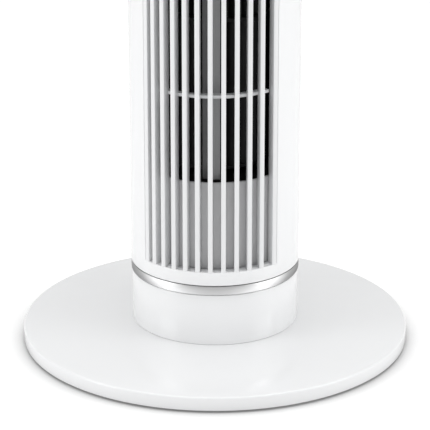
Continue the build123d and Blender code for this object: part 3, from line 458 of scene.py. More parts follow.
def finish_for(slot_name):
    """Find or build a slot's finish: one look that feeds a Principled BSDF and its bump."""
    if slot_name not in FINISHES:
        raise ValueError(f"there is no finish for {slot_name}")
    name, look, colour, bump, reach, values, shader = FINISHES[slot_name]
    if name in bpy.data.materials:
        return bpy.data.materials[name]
    if isinstance(colour, str):
        colour = getattr(bpy.context.scene.tower_fan_colours, colour)
    build_look, labels = LOOKS[look]
    if look not in bpy.data.node_groups:
        build_look()
    material = bpy.data.materials.new(name)
    material.use_nodes = True
    tree = material.node_tree
    surface = tree.nodes["Principled BSDF"]
    group = tree.nodes.new("ShaderNodeGroup")
    group.node_tree = bpy.data.node_groups[look]
    group.inputs["Colour"].default_value = (*colour, 1.0)
    for label, value in zip(labels, values):
        group.inputs[label].default_value = value
    for label, value in shader.items():
        surface.inputs[label].default_value = value
    relief = tree.nodes.new("ShaderNodeBump")
    relief.inputs["Strength"].default_value = bump
    relief.inputs["Distance"].default_value = reach
    tree.links.new(group.outputs["Colour"], surface.inputs["Base Color"])
    tree.links.new(group.outputs["Roughness"], surface.inputs["Roughness"])
    tree.links.new(group.outputs["Height"], relief.inputs["Height"])
    tree.links.new(relief.outputs["Normal"], surface.inputs["Normal"])
    # The silver bands get painted reflection tones multiplied into their colour
    if slot_name == "silver_trim":
        paint_band_reflection(tree, surface)
    return material


# Modelling helpers


def deselect():
    """Leave edit mode and deselect everything."""
    if bpy.context.object and bpy.context.object.mode != "OBJECT":
        bpy.ops.object.mode_set(mode="OBJECT")
    bpy.ops.object.select_all(action="DESELECT")


def pick(piece):
    """Select one piece and make it the active one."""
    deselect()
    piece.select_set(True)
    bpy.context.view_layer.objects.active = piece


def call(piece, name):
    """Name a piece and its mesh."""
    piece.name = name
    piece.data.name = name


def freeze(piece):
    """Write a piece's place, turn and scale into its mesh."""
    pick(piece)
    bpy.ops.object.transform_apply(location=True, rotation=True, scale=True)


def edit_all(piece):
    """Enter edit mode with the whole piece selected."""
    pick(piece)
    bpy.ops.object.mode_set(mode="EDIT")
    bpy.ops.mesh.select_all(action="SELECT")


def edit_where(piece, kind, wanted):
    """Enter edit mode with those edges or faces selected that pass a test."""
    pick(piece)
    bpy.ops.object.mode_set(mode="EDIT")
    bpy.ops.mesh.select_mode(type=kind)
    bpy.ops.mesh.select_all(action="DESELECT")
    bpy.ops.object.mode_set(mode="OBJECT")
    for part in piece.data.polygons if kind == "FACE" else piece.data.edges:
        part.select = wanted(part)
    bpy.ops.object.mode_set(mode="EDIT")


def leave_edit():
    """Leave edit mode with points as what is selected next."""
    bpy.ops.mesh.select_mode(type="VERT")
    bpy.ops.object.mode_set(mode="OBJECT")


def block(name, size, place, turn=0.0):
    """Add a block of a size at a place, turned by an angle about the upright axis."""
    deselect()
    bpy.ops.mesh.primitive_cube_add(size=1.0, location=(0, 0, 0))
    piece = bpy.context.object
    call(piece, name)
    piece.scale = size
    piece.rotation_euler = (0, 0, radians(turn))
    piece.location = place
    freeze(piece)
    return piece


def copies(piece, places):
    """Put a copy with its own mesh at each place and turn, and join them without the pattern."""
    made = []
    for place, turn in places:
        copy = piece.copy()
        copy.data = piece.data.copy()
        bpy.context.collection.objects.link(copy)
        copy.location = place
        copy.rotation_euler = (0, 0, turn)
        freeze(copy)
        made.append(copy)
    bpy.data.objects.remove(piece, do_unlink=True)
    return join(made[0], *made[1:])


def around(radius, angle, height=0.0):
    """Give the point at a radius, an angle from the front towards +X, and a height."""
    return Vector((radius * sin(radians(angle)), -radius * cos(radians(angle)), height))


def angle_of(point):
    """Give the angle of a point from the front, between -180 and 180."""
    reach = hypot(point.x, point.y)
    turn = degrees(acos(max(-1.0, min(1.0, -point.y / reach))))
    return turn if point.x >= 0 else -turn


def apply_modifier(piece, kind, **settings):
    """Add a modifier with these settings and apply it."""
    pick(piece)
    modifier = piece.modifiers.new(kind.title(), kind)
    for key, value in settings.items():
        setattr(modifier, key, value)
    bpy.ops.object.modifier_apply(modifier=modifier.name)


def round_edges(piece, width, segments=2, angle=35.0):
    """Round a piece's sharp edges."""
    apply_modifier(
        piece, "BEVEL", width=width, segments=segments, limit_method="ANGLE",
        angle_limit=radians(angle), use_clamp_overlap=True,
    )


def smooth(piece, angle=32.0):
    """Shade a piece smooth except at its sharp edges."""
    pick(piece)
    bpy.ops.object.shade_smooth_by_angle(angle=radians(angle))


def merge_and_face_out(piece):
    """Merge doubled points and make the faces point outwards."""
    edit_all(piece)
    bpy.ops.mesh.remove_doubles(threshold=MERGE_REACH)
    bpy.ops.mesh.normals_make_consistent(inside=False)
    bpy.ops.object.mode_set(mode="OBJECT")


def draw_outline(name, points):
    """Draw a chain of points from one point, by extruding it along."""
    deselect()
    bpy.ops.mesh.primitive_plane_add(size=MM, location=(0, 0, 0))
    piece = bpy.context.object
    call(piece, name)
    bpy.ops.object.mode_set(mode="EDIT")
    bpy.ops.mesh.select_all(action="SELECT")
    bpy.ops.mesh.merge(type="CENTER")
    bpy.ops.transform.translate(value=points[0])
    for before, after in zip(points, points[1:]):
        bpy.ops.mesh.extrude_vertices_move(TRANSFORM_OT_translate={"value": after - before})
    return piece


def spin(angle, steps):
    """Sweep the selected outline about the column's axis by an angle."""
    bpy.ops.mesh.spin(steps=steps, angle=radians(angle), center=(0, 0, 0), axis=(0, 0, -1))


def band(inner, outer, bottom, top):
    """List the corners of a ring's cross-section."""
    return [(inner, bottom), (outer, bottom), (outer, top), (inner, top)]


def turned(name, outline, start=0.0, sweep=FULL_TURN, steps=160, edge=0.0, closed=True):
    """Turn an outline of radii and heights about the column's axis, and close it."""
    points = [around(radius, start, height) for radius, height in outline]
    if closed:
        points.append(points[0])
    piece = draw_outline(name, points)
    bpy.ops.mesh.select_all(action="SELECT")
    if closed:
        bpy.ops.mesh.remove_doubles(threshold=MERGE_REACH)
        bpy.ops.mesh.select_all(action="SELECT")
    spin(sweep, steps)
    bpy.ops.mesh.select_all(action="SELECT")
    bpy.ops.mesh.remove_doubles(threshold=MERGE_REACH)
    if closed and sweep < FULL_TURN:
        bpy.ops.mesh.select_all(action="SELECT")
        bpy.ops.mesh.fill_holes(sides=0)
    bpy.ops.object.mode_set(mode="OBJECT")
    merge_and_face_out(piece)
    if edge:
        round_edges(piece, edge)
    smooth(piece)
    return piece


def delete_faces(piece, wanted):
    """Delete the faces whose centre passes a test."""
    edit_where(piece, "FACE", lambda face: wanted(face.center))
    bpy.ops.mesh.delete(type="FACE")
    leave_edit()


def cut(piece, *cutters):
    """Cut other pieces out of a piece and delete them."""
    for cutter in cutters:
        apply_modifier(piece, "BOOLEAN", object=cutter, operation="DIFFERENCE", solver="EXACT")
        bpy.data.objects.remove(cutter, do_unlink=True)


def join(piece, *others):
    """Join other pieces into a piece."""
    pick(piece)
    for other in others:
        other.select_set(True)
    bpy.ops.object.join()
    return piece


def settle(piece, body, slot_name, *nodes, look=None):
    """Give a piece its finish and its body, and hide the nodes of the mechanism that it stands in for."""
    piece.data.materials.clear()
    piece.data.materials.append(finish_for(look or slot_name))
    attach(piece, body)
    if nodes:
        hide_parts(*nodes)
    return piece


def arc(centre, radius, start, end, steps):
    """List the points of an arc in the plane of an outline, counted from +r towards +z."""
    points = []
    for index in range(steps + 1):
        turn = radians(start + (end - start) * index / steps)
        points.append((centre[0] + radius * cos(turn), centre[1] + radius * sin(turn)))
    return points


class FanPiece:
    """What the operators of this file share."""

    bl_options = {"REGISTER", "UNDO"}


class TOWERFAN_OT_base(FanPiece, bpy.types.Operator):
    """Model the floor disc with its crowned top and the pedestal collar on it"""

    bl_idname = "tower_fan.base"
    bl_label = "Base and Collar"

    def execute(self, context):
        sizes = context.scene.tower_fan_sizes
        radius = sizes.base_radius
        wall = sizes.wall
        rim_top = UNDERSIDE + RIM_HEIGHT
        bore = COLLAR_RADIUS - 2 * wall + 0.15 * MM

        def crown(distance):
            share = (radius - distance) / (radius - COLLAR_RADIUS)
            rise = COLLAR_SEAT - rim_top
            return rim_top + rise * share + 4 * CROWN_SWELL * share * (1 - share)

        edge = sizes.base_edge
        outline = [(bore, UNDERSIDE + 3 * MM), (bore, COLLAR_SEAT), (COLLAR_RADIUS, COLLAR_SEAT)]
        span = radius - edge - COLLAR_RADIUS
        rings = [COLLAR_RADIUS + span * index / 12 for index in range(1, 12)]
        outline += [(ring, crown(ring)) for ring in rings]
        outline += arc((radius - edge, crown(radius - edge) - edge), edge, 88, 0, 6)
        outline += arc((radius - FOOT_ROUND, UNDERSIDE + FOOT_ROUND), FOOT_ROUND, 0, -90, 4)
        outline += [(radius - wall, UNDERSIDE), (radius - wall, crown(radius - wall) - wall)]
        inner = COLLAR_RADIUS + wall
        span = radius - 2 * wall - inner
        rings = [inner + span * index / 6 for index in range(6, -1, -1)]
        outline += [(ring, crown(ring) - wall) for ring in rings]
        outline += [(bore + wall, COLLAR_SEAT - wall), (bore + wall, UNDERSIDE + 3 * MM)]
        disc = turned("base_moulding", outline, steps=220)
        for size, depth in ((4.15 * MM, 20 * MM), (5.25 * MM, 2.3 * MM)):
            deselect()
            bpy.ops.mesh.primitive_cylinder_add(
                vertices=48, radius=size, depth=depth,
                location=(0, radius, UNDERSIDE + RIM_HEIGHT / 2), rotation=(pi / 2, 0, 0),
            )
            cutter = bpy.context.object
            freeze(cutter)
            cut(disc, cutter)
        smooth(disc)
        settle(disc, "base", "white_gloss", "base_disc")

        collar_inner = COLLAR_RADIUS - wall
        deck = low("swivel_deck") + 12 * MM
        spigot = collar_inner - wall
        outline = [
            (spigot - wall, COLLAR_SEAT - wall),
            (spigot, COLLAR_SEAT - wall), (spigot, COLLAR_SEAT + 0.2 * MM),
            (COLLAR_RADIUS - 0.5 * MM, COLLAR_SEAT + 0.02 * MM), (COLLAR_RADIUS, COLLAR_SEAT + 0.45 * MM),
            (COLLAR_RADIUS, COLLAR_TOP - 0.5 * MM), (COLLAR_RADIUS - 0.15 * MM, COLLAR_TOP - 0.15 * MM),
            (COLLAR_RADIUS - 0.5 * MM, COLLAR_TOP), (collar_inner, COLLAR_TOP),
            (collar_inner, deck), (collar_inner - 3 * MM, deck), (collar_inner - 3 * MM, deck - 3 * MM),
            (collar_inner, deck - 6 * MM), (collar_inner, COLLAR_SEAT + wall),
            (spigot - wall, COLLAR_SEAT + wall),
        ]
        settle(turned("collar_moulding", outline), "base", "white_gloss", "pedestal_collar")
        return {"FINISHED"}


class TOWERFAN_OT_bands(FanPiece, bpy.types.Operator):
    """Model the two satin silver bands with their locating tongues"""

    bl_idname = "tower_fan.bands"
    bl_label = "Silver Bands"

    def execute(self, context):
        swell = context.scene.tower_fan_sizes.ring_swell
        places = [
            ("lower_band", "trim_ring", "base", COLLAR_TOP, COLLAR_RADIUS - 2.65 * MM),
            ("upper_band", "top_trim_ring", "column", SHELL_TOP, COLUMN_RADIUS - 2.8 * MM),
        ]
        for name, node, body, bottom, tongue in places:
            top = high(node)
            half = (top - bottom) / 2
            face = []
            for index in range(9):
                share = index / 4 - 1
                face.append((RING_RADIUS - swell * share * share, bottom + half * (1 + share)))
            groove = bottom + BAND_GROOVE
            floor = RING_RADIUS - 1.6 * MM
            face[0] = (face[0][0] - 0.15 * MM, groove)
            face.insert(1, (RING_RADIUS - swell * 0.92, groove + 0.18 * MM))
            face[:0] = [(floor, bottom), (floor, groove)]
            face.insert(-1, (RING_RADIUS - swell * 0.95, top - 0.22 * MM))
            face[-1] = (face[-1][0] - 0.2 * MM, face[-1][1])
            outline = face + [
                (tongue - 0.7 * MM, top), (tongue - 0.7 * MM, bottom - 3 * MM),
                (tongue, bottom - 3 * MM), (tongue, bottom),
            ]
            settle(turned(name, outline), body, "silver_trim", node)
        return {"FINISHED"}


def open_wall(name, start, stretches, levels):
    """Spin an upright line round the column in stretches, each with its angle and steps."""
    piece = draw_outline(name, [around(COLUMN_RADIUS, start, height) for height in levels])
    bpy.ops.mesh.select_all(action="SELECT")
    for angle, steps in stretches:
        spin(angle, steps)
    bpy.ops.object.mode_set(mode="OBJECT")
    merge_and_face_out(piece)
    return piece


def thicken(piece, wall, edge):
    """Give an open wall its thickness towards the axis and round its edges."""
    outward = sum(
        polygon.normal.x * polygon.center.x + polygon.normal.y * polygon.center.y
        for polygon in piece.data.polygons
    )
    if outward < 0:
        edit_all(piece)
        bpy.ops.mesh.flip_normals()
        bpy.ops.object.mode_set(mode="OBJECT")
    apply_modifier(piece, "SOLIDIFY", thickness=wall, offset=-1.0, use_even_offset=True)
    round_edges(piece, edge, 3, 50.0)


def shell_lip(name, wall, start, sweep, steps):
    """Add the foot of a shell, which turns in under its wall."""
    inner = COLUMN_RADIUS - LIP_DEPTH
    outline = band(inner, COLUMN_RADIUS - wall, COLUMN_BOTTOM, COLUMN_BOTTOM + LIP_HEIGHT)
    return turned(name, outline, start, sweep, steps)


def cut_opening(shell, node, corner, side, depth):
    """Cut an opening with round corners for a node, at the front (-1) or the back (1)."""
    box_low, box_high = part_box(node)
    size = (box_high.x - box_low.x + OPENING_GAP, depth, box_high.z - box_low.z + OPENING_GAP)
    opening = block("opening_cutter", size, (0, side * COLUMN_RADIUS, (box_low.z + box_high.z) / 2))

    def is_corner(edge):
        ends = [opening.data.vertices[index].co for index in edge.vertices]
        return abs(ends[0].y - ends[1].y) > depth / 2

    edit_where(opening, "EDGE", is_corner)
    bpy.ops.mesh.bevel(offset=corner, segments=8, affect="EDGES")
    leave_edit()
    cut(shell, opening)


class TOWERFAN_OT_front_shell(FanPiece, bpy.types.Operator):
    """Model the front shell with the tall outlet and the display opening"""

    bl_idname = "tower_fan.front_shell"
    bl_label = "Front Shell"

    def execute(self, context):
        sizes = context.scene.tower_fan_sizes
        seam = degrees(sizes.shell_seam)
        outlet = degrees(sizes.outlet_half_angle)
        side = seam - outlet
        shell = open_wall(
            "front_shell_moulding",
            -seam,
            [(side, 24), (2 * outlet, 50), (side, 24)],
            [COLUMN_BOTTOM, OUTLET_BOTTOM, OUTLET_TOP, SHELL_TOP],
        )
        delete_faces(
            shell,
            lambda centre: OUTLET_BOTTOM < centre.z < OUTLET_TOP and abs(angle_of(centre)) < outlet,
        )
        thicken(shell, sizes.wall, sizes.edge)
        cut_opening(shell, "display_window", 4.15 * MM, -1, 20 * MM)
        join(shell, shell_lip("front_lip", sizes.wall, -seam, 2 * seam, 90))
        smooth(shell)
        settle(shell, "column", "white_gloss", "front_shell")
        return {"FINISHED"}


class TOWERFAN_OT_rear_shell(FanPiece, bpy.types.Operator):
    """Model the rear shell with its tiers of inlet slots and the hand hold opening, and a black sheet of
    painted shade behind the slots
    """

    bl_idname = "tower_fan.rear_shell"
    bl_label = "Rear Shell"

    def execute(self, context):
        sizes = context.scene.tower_fan_sizes
        seam = degrees(sizes.shell_seam)
        slot = degrees(INLET_SLOT_WIDTH / COLUMN_RADIUS)
        pitch = 2 * INLET_HALF_FIELD / (INLET_SLOTS - 1)
        side = 180 - INLET_HALF_FIELD - slot / 2 - seam
        field = [(slot, 2), (pitch - slot, 2)] * INLET_SLOTS
        stretches = [(side, 10), *field[:-1], (side, 10)]
        first = OUTLET_BOTTOM + INLET_MARGIN
        tier = (OUTLET_TOP - OUTLET_BOTTOM - 2 * INLET_MARGIN + INLET_BAR) / INLET_TIERS
        starts = [first + index * tier for index in range(INLET_TIERS)]
        tiers = [(start, start + tier - INLET_BAR) for start in starts]
        levels = [COLUMN_BOTTOM, *[level for ends in tiers for level in ends], SHELL_TOP]
        shell = open_wall("rear_shell_moulding", seam, stretches, levels)

        def in_slot(centre):
            from_back = 180 - abs(angle_of(centre))
            from_back = from_back if centre.x > 0 else -from_back
            place = (from_back + INLET_HALF_FIELD + slot / 2) % pitch
            if abs(from_back) > INLET_HALF_FIELD + slot / 2 or place > slot:
                return False
            return any(start < centre.z < end for start, end in tiers)

        delete_faces(shell, in_slot)
        thicken(shell, sizes.wall, sizes.edge * 0.8)
        cut_opening(shell, "handle_cup", 10.15 * MM, 1, 60 * MM)
        join(shell, shell_lip("rear_lip", sizes.wall, seam, FULL_TURN - 2 * seam, 80))
        smooth(shell)
        settle(shell, "column", "white_gloss", "rear_shell")

        # Painted shade: a black sheet behind the inlet slots keeps the bright world from showing through the
        # air chamber
        behind = COLUMN_RADIUS - sizes.wall - SHADE_SHEET_THICKNESS
        below = high("motor_housing") + 0.5 * MM
        above = low("blower_ceiling") - 0.5 * MM
        shade_sheet = turned(
            "inlet_gauze",
            band(behind - SHADE_SHEET_THICKNESS, behind, below, above),
            180 - INLET_HALF_FIELD - 4, 2 * INLET_HALF_FIELD + 8, 60,
        )
        settle(shade_sheet, "column", "black_plastic")
        return {"FINISHED"}


def fin_angles(count):
    """List the angles of the fins, which stand a little wider apart on the right."""
    limit = OUTLET_HALF_ANGLE - degrees(FIN_END_SPARE / GRILLE_FACE)
    inner = [FIN_FIRST + index * (FIN_STEP + FIN_STEP_GROWTH * index) for index in range(1, count - 1)]
    return [-limit, *inner, limit]


class TOWERFAN_OT_grille(FanPiece, bpy.types.Operator):
    """Model the front grille: tapered fins on curved ribs between two end plates"""

    bl_idname = "tower_fan.grille"
    bl_label = "Front Grille"

    def execute(self, context):
        sizes = context.scene.tower_fan_sizes
        height = OUTLET_TOP - OUTLET_BOTTOM
        depth = sizes.fin_depth
        middle = OUTLET_BOTTOM + height / 2
        fin = block("grille_fin", (sizes.fin_width, depth, height), (0, depth / 2, middle))

        def upright(edge, first, last):
            ends = [fin.data.vertices[index].co for index in edge.vertices]
            inside = all(first <= end.y / depth <= last for end in ends)
            return inside and abs(ends[0].z - ends[1].z) > height / 2

        edit_where(fin, "FACE", lambda face: face.normal.y > 0.5)
        taper = sizes.fin_back_width / sizes.fin_width
        bpy.ops.transform.resize(value=(taper, 1, 1), center_override=(0, depth, 0))
        edit_where(fin, "EDGE", lambda edge: upright(edge, -0.1, 0.5))
        bpy.ops.mesh.bevel(offset=0.4 * MM, segments=3, affect="EDGES")
        edit_where(fin, "EDGE", lambda edge: upright(edge, 0.9, 1.1))
        bpy.ops.mesh.bevel(offset=0.35 * MM, segments=2, affect="EDGES")
        leave_edit()
        angles = fin_angles(sizes.fin_count)
        places = []
        for angle in angles:
            face = around(GRILLE_FACE, angle)
            reach = FIN_FOCUS - face
            places.append((face, Vector((reach.x, reach.y)).angle_signed(Vector((0, 1)))))
        fins = copies(fin, places)
        back = GRILLE_FACE - depth
        rib_face = back + 1.5 * MM
        parts = []
        for index in range(1, RIB_COUNT + 1):
            bottom = OUTLET_BOTTOM + index * height / (RIB_COUNT + 1) - RIB_HEIGHT / 2
            outline = band(rib_face - RIB_DEPTH, rib_face, bottom, bottom + RIB_HEIGHT)
            sweep = angles[-1] - angles[1]
            parts.append(turned(f"grille_rib_{index}", outline, angles[1], sweep, 48, 0.2 * MM))
        plate_face = COLUMN_RADIUS - 2.65 * MM
        for name, bottom in (("lower", OUTLET_BOTTOM - GRILLE_PLATE), ("upper", OUTLET_TOP)):
            outline = band(back, plate_face, bottom, bottom + GRILLE_PLATE)
            parts.append(turned(f"grille_{name}_plate", outline, -53.4, 106.8, 60, 0.4 * MM))
        grille = join(fins, *parts)
        call(grille, "front_grille_moulding")
        smooth(grille)
        settle(grille, "column", "grille_white", "front_grille")
        return {"FINISHED"}


class TOWERFAN_OT_motor_cover(FanPiece, bpy.types.Operator):
    """Model the pale curved cover that hides the motor behind the grille"""

    bl_idname = "tower_fan.motor_cover"
    bl_label = "Motor Cover"

    def execute(self, context):
        outer = COLUMN_RADIUS - COVER_SETBACK
        outline = band(outer - COVER_THICKNESS, outer, COVER_BOTTOM, COVER_TOP)
        cover = turned("motor_cover_moulding", outline, -COVER_HALF_ANGLE, 2 * COVER_HALF_ANGLE, 64, 0.6 * MM)
        settle(cover, "column", "grille_white", "motor_cover", look="cover")
        return {"FINISHED"}


class TOWERFAN_OT_strut(FanPiece, bpy.types.Operator):
    """Model the upright guide in the mouth of the duct: a blade on one spine, the spine coloured with painted
    shade and the blade with painted light
    """

    bl_idname = "tower_fan.strut"
    bl_label = "Duct Guide"

    def execute(self, context):
        bottom = low("duct_strut")
        top = high("duct_strut")
        outline = band(GUIDE_INNER, GUIDE_OUTER - 1 * MM, bottom, top)
        spine = turned("duct_guide_spine", outline, -7.0, 16.0, 24, 0.4 * MM)
        outline = band(GUIDE_INNER + 0.4 * MM, GUIDE_OUTER, bottom, top)
        blade = turned("duct_guide_blade", outline, 1.6, 7.2, 16, 0.5 * MM)
        # The spine takes the painted shade and the blade the painted light
        settle(spine, "column", "grey_plastic", "duct_strut", look="guide_painted_shade")
        settle(blade, "column", "grey_plastic", "duct_strut", look="guide_painted_light")
        return {"FINISHED"}


class TOWERFAN_OT_cap(FanPiece, bpy.types.Operator):
    """Model the rounded top cap with the ledge that holds the control panel"""

    bl_idname = "tower_fan.cap"
    bl_label = "Top Cap"

    def execute(self, context):
        wall = context.scene.tower_fan_sizes.wall
        turn = 9 * MM
        hole = 48.15 * MM
        panel_bottom = PANEL_TOP - PANEL_THICKNESS
        outline = [(COLUMN_RADIUS - wall, CAP_BOTTOM), (COLUMN_RADIUS - 0.4 * MM, CAP_BOTTOM)]
        outline.append((COLUMN_RADIUS, CAP_BOTTOM + 0.4 * MM))
        outline += arc((COLUMN_RADIUS - turn, CAP_TOP - turn), turn, 0, 90, 14)
        outline += [
            (hole + 0.4 * MM, CAP_TOP), (hole, CAP_TOP - 0.4 * MM), (hole, panel_bottom),
            (hole - 4 * MM, panel_bottom), (hole - 4 * MM, panel_bottom - wall),
            (COLUMN_RADIUS - turn, panel_bottom - wall), (COLUMN_RADIUS - wall, CAP_TOP - turn - wall),
        ]
        settle(turned("top_cap_moulding", outline), "column", "white_gloss", "top_cap")
        return {"FINISHED"}


def stroke(kind, centre, *measures):
    """Add a stroke of print, an arc or a bar, about the centre of a key's face."""
    if kind == "bar":
        x, y, length, width, turn = measures
        place = centre + Vector((x * MM, y * MM, 0))
        bar = block("stroke", (length * MM, width * MM, 2 * PRINT_RISE), place, turn)
        round_edges(bar, width * MM * 0.3, 2)
        return bar
    radius, start, sweep = measures
    inner = (radius - STROKE / 2) * MM
    outer = (radius + STROKE / 2) * MM
    outline = band(inner, outer, centre.z - PRINT_RISE, centre.z + PRINT_RISE)
    curve = turned("stroke", outline, start, sweep, max(6, int(sweep / 8)))
    curve.location = (centre.x, centre.y, 0)
    freeze(curve)
    return curve


class TOWERFAN_OT_keys(FanPiece, bpy.types.Operator):
    """Model the four dished push keys, each with a plain generic symbol"""

    bl_idname = "tower_fan.keys"
    bl_label = "Keys"

    def execute(self, context):
        top = high("button_power")
        bottom = low("button_power")
        panel_bottom = PANEL_TOP - PANEL_THICKNESS
        flange = panel_bottom - 0.2 * MM
        radius = 6.5 * MM
        outline = [
            (0, top - 0.5 * MM), (2.5 * MM, top - 0.45 * MM), (4.2 * MM, top - 0.25 * MM),
            (5.3 * MM, top - 0.04 * MM), (5.7 * MM, top), (6.1 * MM, top - 0.1 * MM),
            (6.4 * MM, top - 0.4 * MM), (radius, top - 0.8 * MM), (radius, flange), (8 * MM, flange),
            (8 * MM, flange - 1.2 * MM), (1.9 * MM, flange - 1.2 * MM), (1.9 * MM, bottom), (0, bottom),
        ]
        for name, angle in KEY_ANGLES.items():
            key = turned(f"{name}_key_moulding", outline, steps=64, closed=False)
            key.location = around(KEY_CIRCLE, angle)
            freeze(key)
            merge_and_face_out(key)
            smooth(key)
            settle(key, f"{name}_key", "key_white", f"button_{name}")
            centre = around(KEY_CIRCLE, angle, top - 0.48 * MM)
            strokes = [stroke(kind, centre, *measures) for kind, *measures in SYMBOLS[name]]
            print_piece = join(strokes[0], *strokes[1:])
            call(print_piece, f"{name}_symbol")
            smooth(print_piece)
            settle(print_piece, f"{name}_key", "panel_grey", look="symbol")
        return {"FINISHED"}


class TOWERFAN_OT_screws(FanPiece, bpy.types.Operator):
    """Model the small cross head screws under the base"""

    bl_idname = "tower_fan.screws"
    bl_label = "Screws"

    def execute(self, context):
        deselect()
        bpy.ops.mesh.primitive_cylinder_add(vertices=32, radius=3.2 * MM, depth=1.2 * MM, location=(0, 0, 0))
        screw = bpy.context.object
        screw.name = "pan_screw"
        round_edges(screw, 0.5 * MM, 3)
        for turn in (0, 90):
            cut(screw, block("screw_slot", (3.4 * MM, 0.7 * MM, 1.2 * MM), (0, 0, -0.7 * MM), turn))
        smooth(screw)
        turn = FULL_TURN / SCREW_COUNT
        seat = UNDERSIDE - 0.55 * MM
        places = [(around(SCREW_CIRCLE, turn * index, seat), 0) for index in range(SCREW_COUNT)]
        joined = copies(screw, places)
        call(joined, "underside_screws")
        settle(joined, "base", "steel")
        return {"FINISHED"}


class TOWERFAN_OT_finishes(FanPiece, bpy.types.Operator):
    """Give every part of the mechanism its procedural finish"""

    bl_idname = "tower_fan.finishes"
    bl_label = "Mechanism Finishes"

    def execute(self, context):
        for part in frame["record"]["subparts"]:
            piece = frame["nodes"][part["node"]]
            material = finish_for(part["material_slot"])
            if not piece.material_slots:
                piece.data.materials.append(material)
            for slot in piece.material_slots:
                slot.material = material
        return {"FINISHED"}


def add_lamp(name, place, target, width, height, power):
    """Add a soft rectangular lamp that faces a target."""
    deselect()
    bpy.ops.object.light_add(type="AREA", location=place)
    lamp = bpy.context.object
    lamp.name = name
    lamp.data.shape = "RECTANGLE"
    lamp.data.size = width
    lamp.data.size_y = height
    lamp.data.energy = power
    facing = Vector(target) - Vector(place)
    lamp.rotation_euler = facing.to_track_quat("-Z", "Y").to_euler()
    return lamp


# The camera and the lamps stand round the column. VIEW is the camera's angle in degrees.
VIEW = 4.3
CAMERA_DISTANCE = 1.783
CAMERA_HEIGHT = 0.7595
CAMERA_TILT = 20.32
CAMERA_LENS = 205.3
FLAG_ANGLE = 132
MIDDLE = (0, 0, 0.28)

# Lamps: name, place, target, width, height and power
LAMPS = [
    ("left_fill", around(1.7, VIEW - 66, 0.6), MIDDLE, 0.8, 1.2, 7.7),
    ("right_fill", around(1.7, VIEW + 68, 0.6), MIDDLE, 0.8, 1.2, 7.7),
    ("left_strip", around(1.6, VIEW - 68, 0.5), MIDDLE, 0.16, 1.6, 1.4),
    ("right_strip", around(1.6, VIEW + 78, 0.5), MIDDLE, 0.16, 1.6, 1.4),
    ("overhead", (0.0, 0.1, 2.3), (0, 0, 0), 2.0, 1.4, 25),
]


def add_flag(name, angle):
    """Stand a dark cloth beside the stage, unseen by the camera, to hold the column's edges."""
    deselect()
    bpy.ops.mesh.primitive_plane_add(size=1.0, location=(0, 0, 0))
    flag = bpy.context.object
    flag.name = name
    flag.scale = (0.45, 1.3, 1)
    flag.rotation_euler = (radians(90), 0, radians(angle))
    flag.location = around(1.2, angle, 1.05)
    freeze(flag)
    flag.visible_camera = False
    cloth = bpy.data.materials.get("flag_cloth") or bpy.data.materials.new("flag_cloth")
    cloth.use_nodes = True
    surface = cloth.node_tree.nodes["Principled BSDF"]
    surface.inputs["Base Color"].default_value = (0.03, 0.03, 0.03, 1)
    surface.inputs["Roughness"].default_value = 1.0
    flag.data.materials.append(cloth)


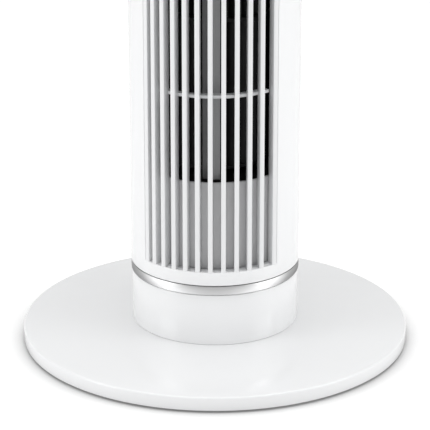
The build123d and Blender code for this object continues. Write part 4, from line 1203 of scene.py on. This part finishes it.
class TOWERFAN_OT_stage(FanPiece, bpy.types.Operator):
    """Set up the pale floor with its painted contact shadow, the soft lamps, the world and the camera"""

    bl_idname = "tower_fan.stage"
    bl_label = "Stage"

    def execute(self, context):
        deselect()
        bpy.ops.mesh.primitive_plane_add(size=9.0, location=(0, 0, 0))
        floor = bpy.context.object
        floor.name = "studio_floor"
        material = bpy.data.materials.new("white_floor")
        material.use_nodes = True
        tree = material.node_tree
        surface = tree.nodes["Principled BSDF"]
        surface.inputs["Base Color"].default_value = (0.96, 0.96, 0.96, 1)
        surface.inputs["Roughness"].default_value = 0.9
        surface.inputs["Specular IOR Level"].default_value = 0.1
        rays = tree.nodes.new("ShaderNodeLightPath")
        glow = tree.nodes.new("ShaderNodeMath")
        glow.operation = "MULTIPLY"
        glow.inputs[1].default_value = 0.12
        tree.links.new(rays.outputs["Is Camera Ray"], glow.inputs[0])
        tree.links.new(glow.outputs[0], surface.inputs["Emission Strength"])
        surface.inputs["Emission Color"].default_value = (1, 1, 1, 1)
        # Painted contact shadow: the floor's colour darkens by ambient occlusion near the fan's base
        contact_shade = tree.nodes.new("ShaderNodeAmbientOcclusion")
        contact_shade.samples = 16
        contact_shade.inputs["Distance"].default_value = 0.028
        depth = tree.nodes.new("ShaderNodeMapRange")
        depth.inputs["From Min"].default_value = 0.35
        depth.inputs["To Min"].default_value = 0.4
        depth.inputs["To Max"].default_value = 0.96
        tree.links.new(contact_shade.outputs["AO"], depth.inputs["Value"])
        tree.links.new(depth.outputs["Result"], surface.inputs["Base Color"])
        floor.data.materials.append(material)

        world = bpy.data.worlds.new("studio_world")
        context.scene.world = world
        world.use_nodes = True
        tree = world.node_tree
        sky = tree.nodes["Background"]
        sky.inputs["Color"].default_value = (1, 1, 1, 1)
        rays = tree.nodes.new("ShaderNodeLightPath")
        level = tree.nodes.new("ShaderNodeMapRange")
        level.inputs["To Min"].default_value = 0.62
        level.inputs["To Max"].default_value = 1.0
        tree.links.new(rays.outputs["Is Camera Ray"], level.inputs["Value"])
        tree.links.new(level.outputs["Result"], sky.inputs["Strength"])

        for name, place, target, width, height, power in LAMPS:
            add_lamp(name, place, target, width, height, power)
        for name, side in (("left_flag", -1), ("right_flag", 1)):
            add_flag(name, VIEW + side * FLAG_ANGLE)

        bpy.ops.object.camera_add(
            location=around(CAMERA_DISTANCE, VIEW, CAMERA_HEIGHT),
            rotation=(radians(90 - CAMERA_TILT), 0, radians(VIEW)),
        )
        camera = bpy.context.object
        camera.name = "studio_camera"
        camera.data.lens = CAMERA_LENS
        camera.data.sensor_width = 36.0
        camera.data.sensor_fit = "HORIZONTAL"
        camera.data.clip_end = 50.0
        context.scene.camera = camera
        context.scene.view_settings.view_transform = "Standard"
        return {"FINISHED"}


class TOWERFAN_PT_panel(bpy.types.Panel):
    """List the steps of the tower fan in the sidebar"""

    bl_idname = "TOWERFAN_PT_panel"
    bl_label = "Tower Fan"
    bl_space_type = "VIEW_3D"
    bl_region_type = "UI"
    bl_category = "Tower Fan"

    def draw(self, context):
        for group in (context.scene.tower_fan_sizes, context.scene.tower_fan_colours):
            box = self.layout.box()
            for name in group.__annotations__:
                box.prop(group, name)
        for operator in OPERATORS:
            self.layout.operator(operator.bl_idname)


OPERATORS = [
    TOWERFAN_OT_base,
    TOWERFAN_OT_bands,
    TOWERFAN_OT_front_shell,
    TOWERFAN_OT_rear_shell,
    TOWERFAN_OT_grille,
    TOWERFAN_OT_motor_cover,
    TOWERFAN_OT_strut,
    TOWERFAN_OT_cap,
    TOWERFAN_OT_keys,
    TOWERFAN_OT_screws,
    TOWERFAN_OT_finishes,
    TOWERFAN_OT_stage,
]
CLASSES = [FanSizes, FanColours, *OPERATORS, TOWERFAN_PT_panel]


def register():
    """Register the classes and hang the settings on the scene."""
    for item in CLASSES:
        bpy.utils.register_class(item)
    bpy.types.Scene.tower_fan_sizes = bpy.props.PointerProperty(type=FanSizes)
    bpy.types.Scene.tower_fan_colours = bpy.props.PointerProperty(type=FanColours)


def unregister():
    """Remove the settings and the classes."""
    del bpy.types.Scene.tower_fan_colours
    del bpy.types.Scene.tower_fan_sizes
    for item in reversed(CLASSES):
        bpy.utils.unregister_class(item)


def main():
    """Build the whole fan and its stage."""
    register()
    bpy.ops.tower_fan.base()
    bpy.ops.tower_fan.bands()
    bpy.ops.tower_fan.front_shell()
    bpy.ops.tower_fan.rear_shell()
    bpy.ops.tower_fan.grille()
    bpy.ops.tower_fan.motor_cover()
    bpy.ops.tower_fan.strut()
    bpy.ops.tower_fan.cap()
    bpy.ops.tower_fan.keys()
    bpy.ops.tower_fan.screws()
    bpy.ops.tower_fan.finishes()
    bpy.ops.tower_fan.stage()
    deselect()


if __name__ == "__main__":
    main()
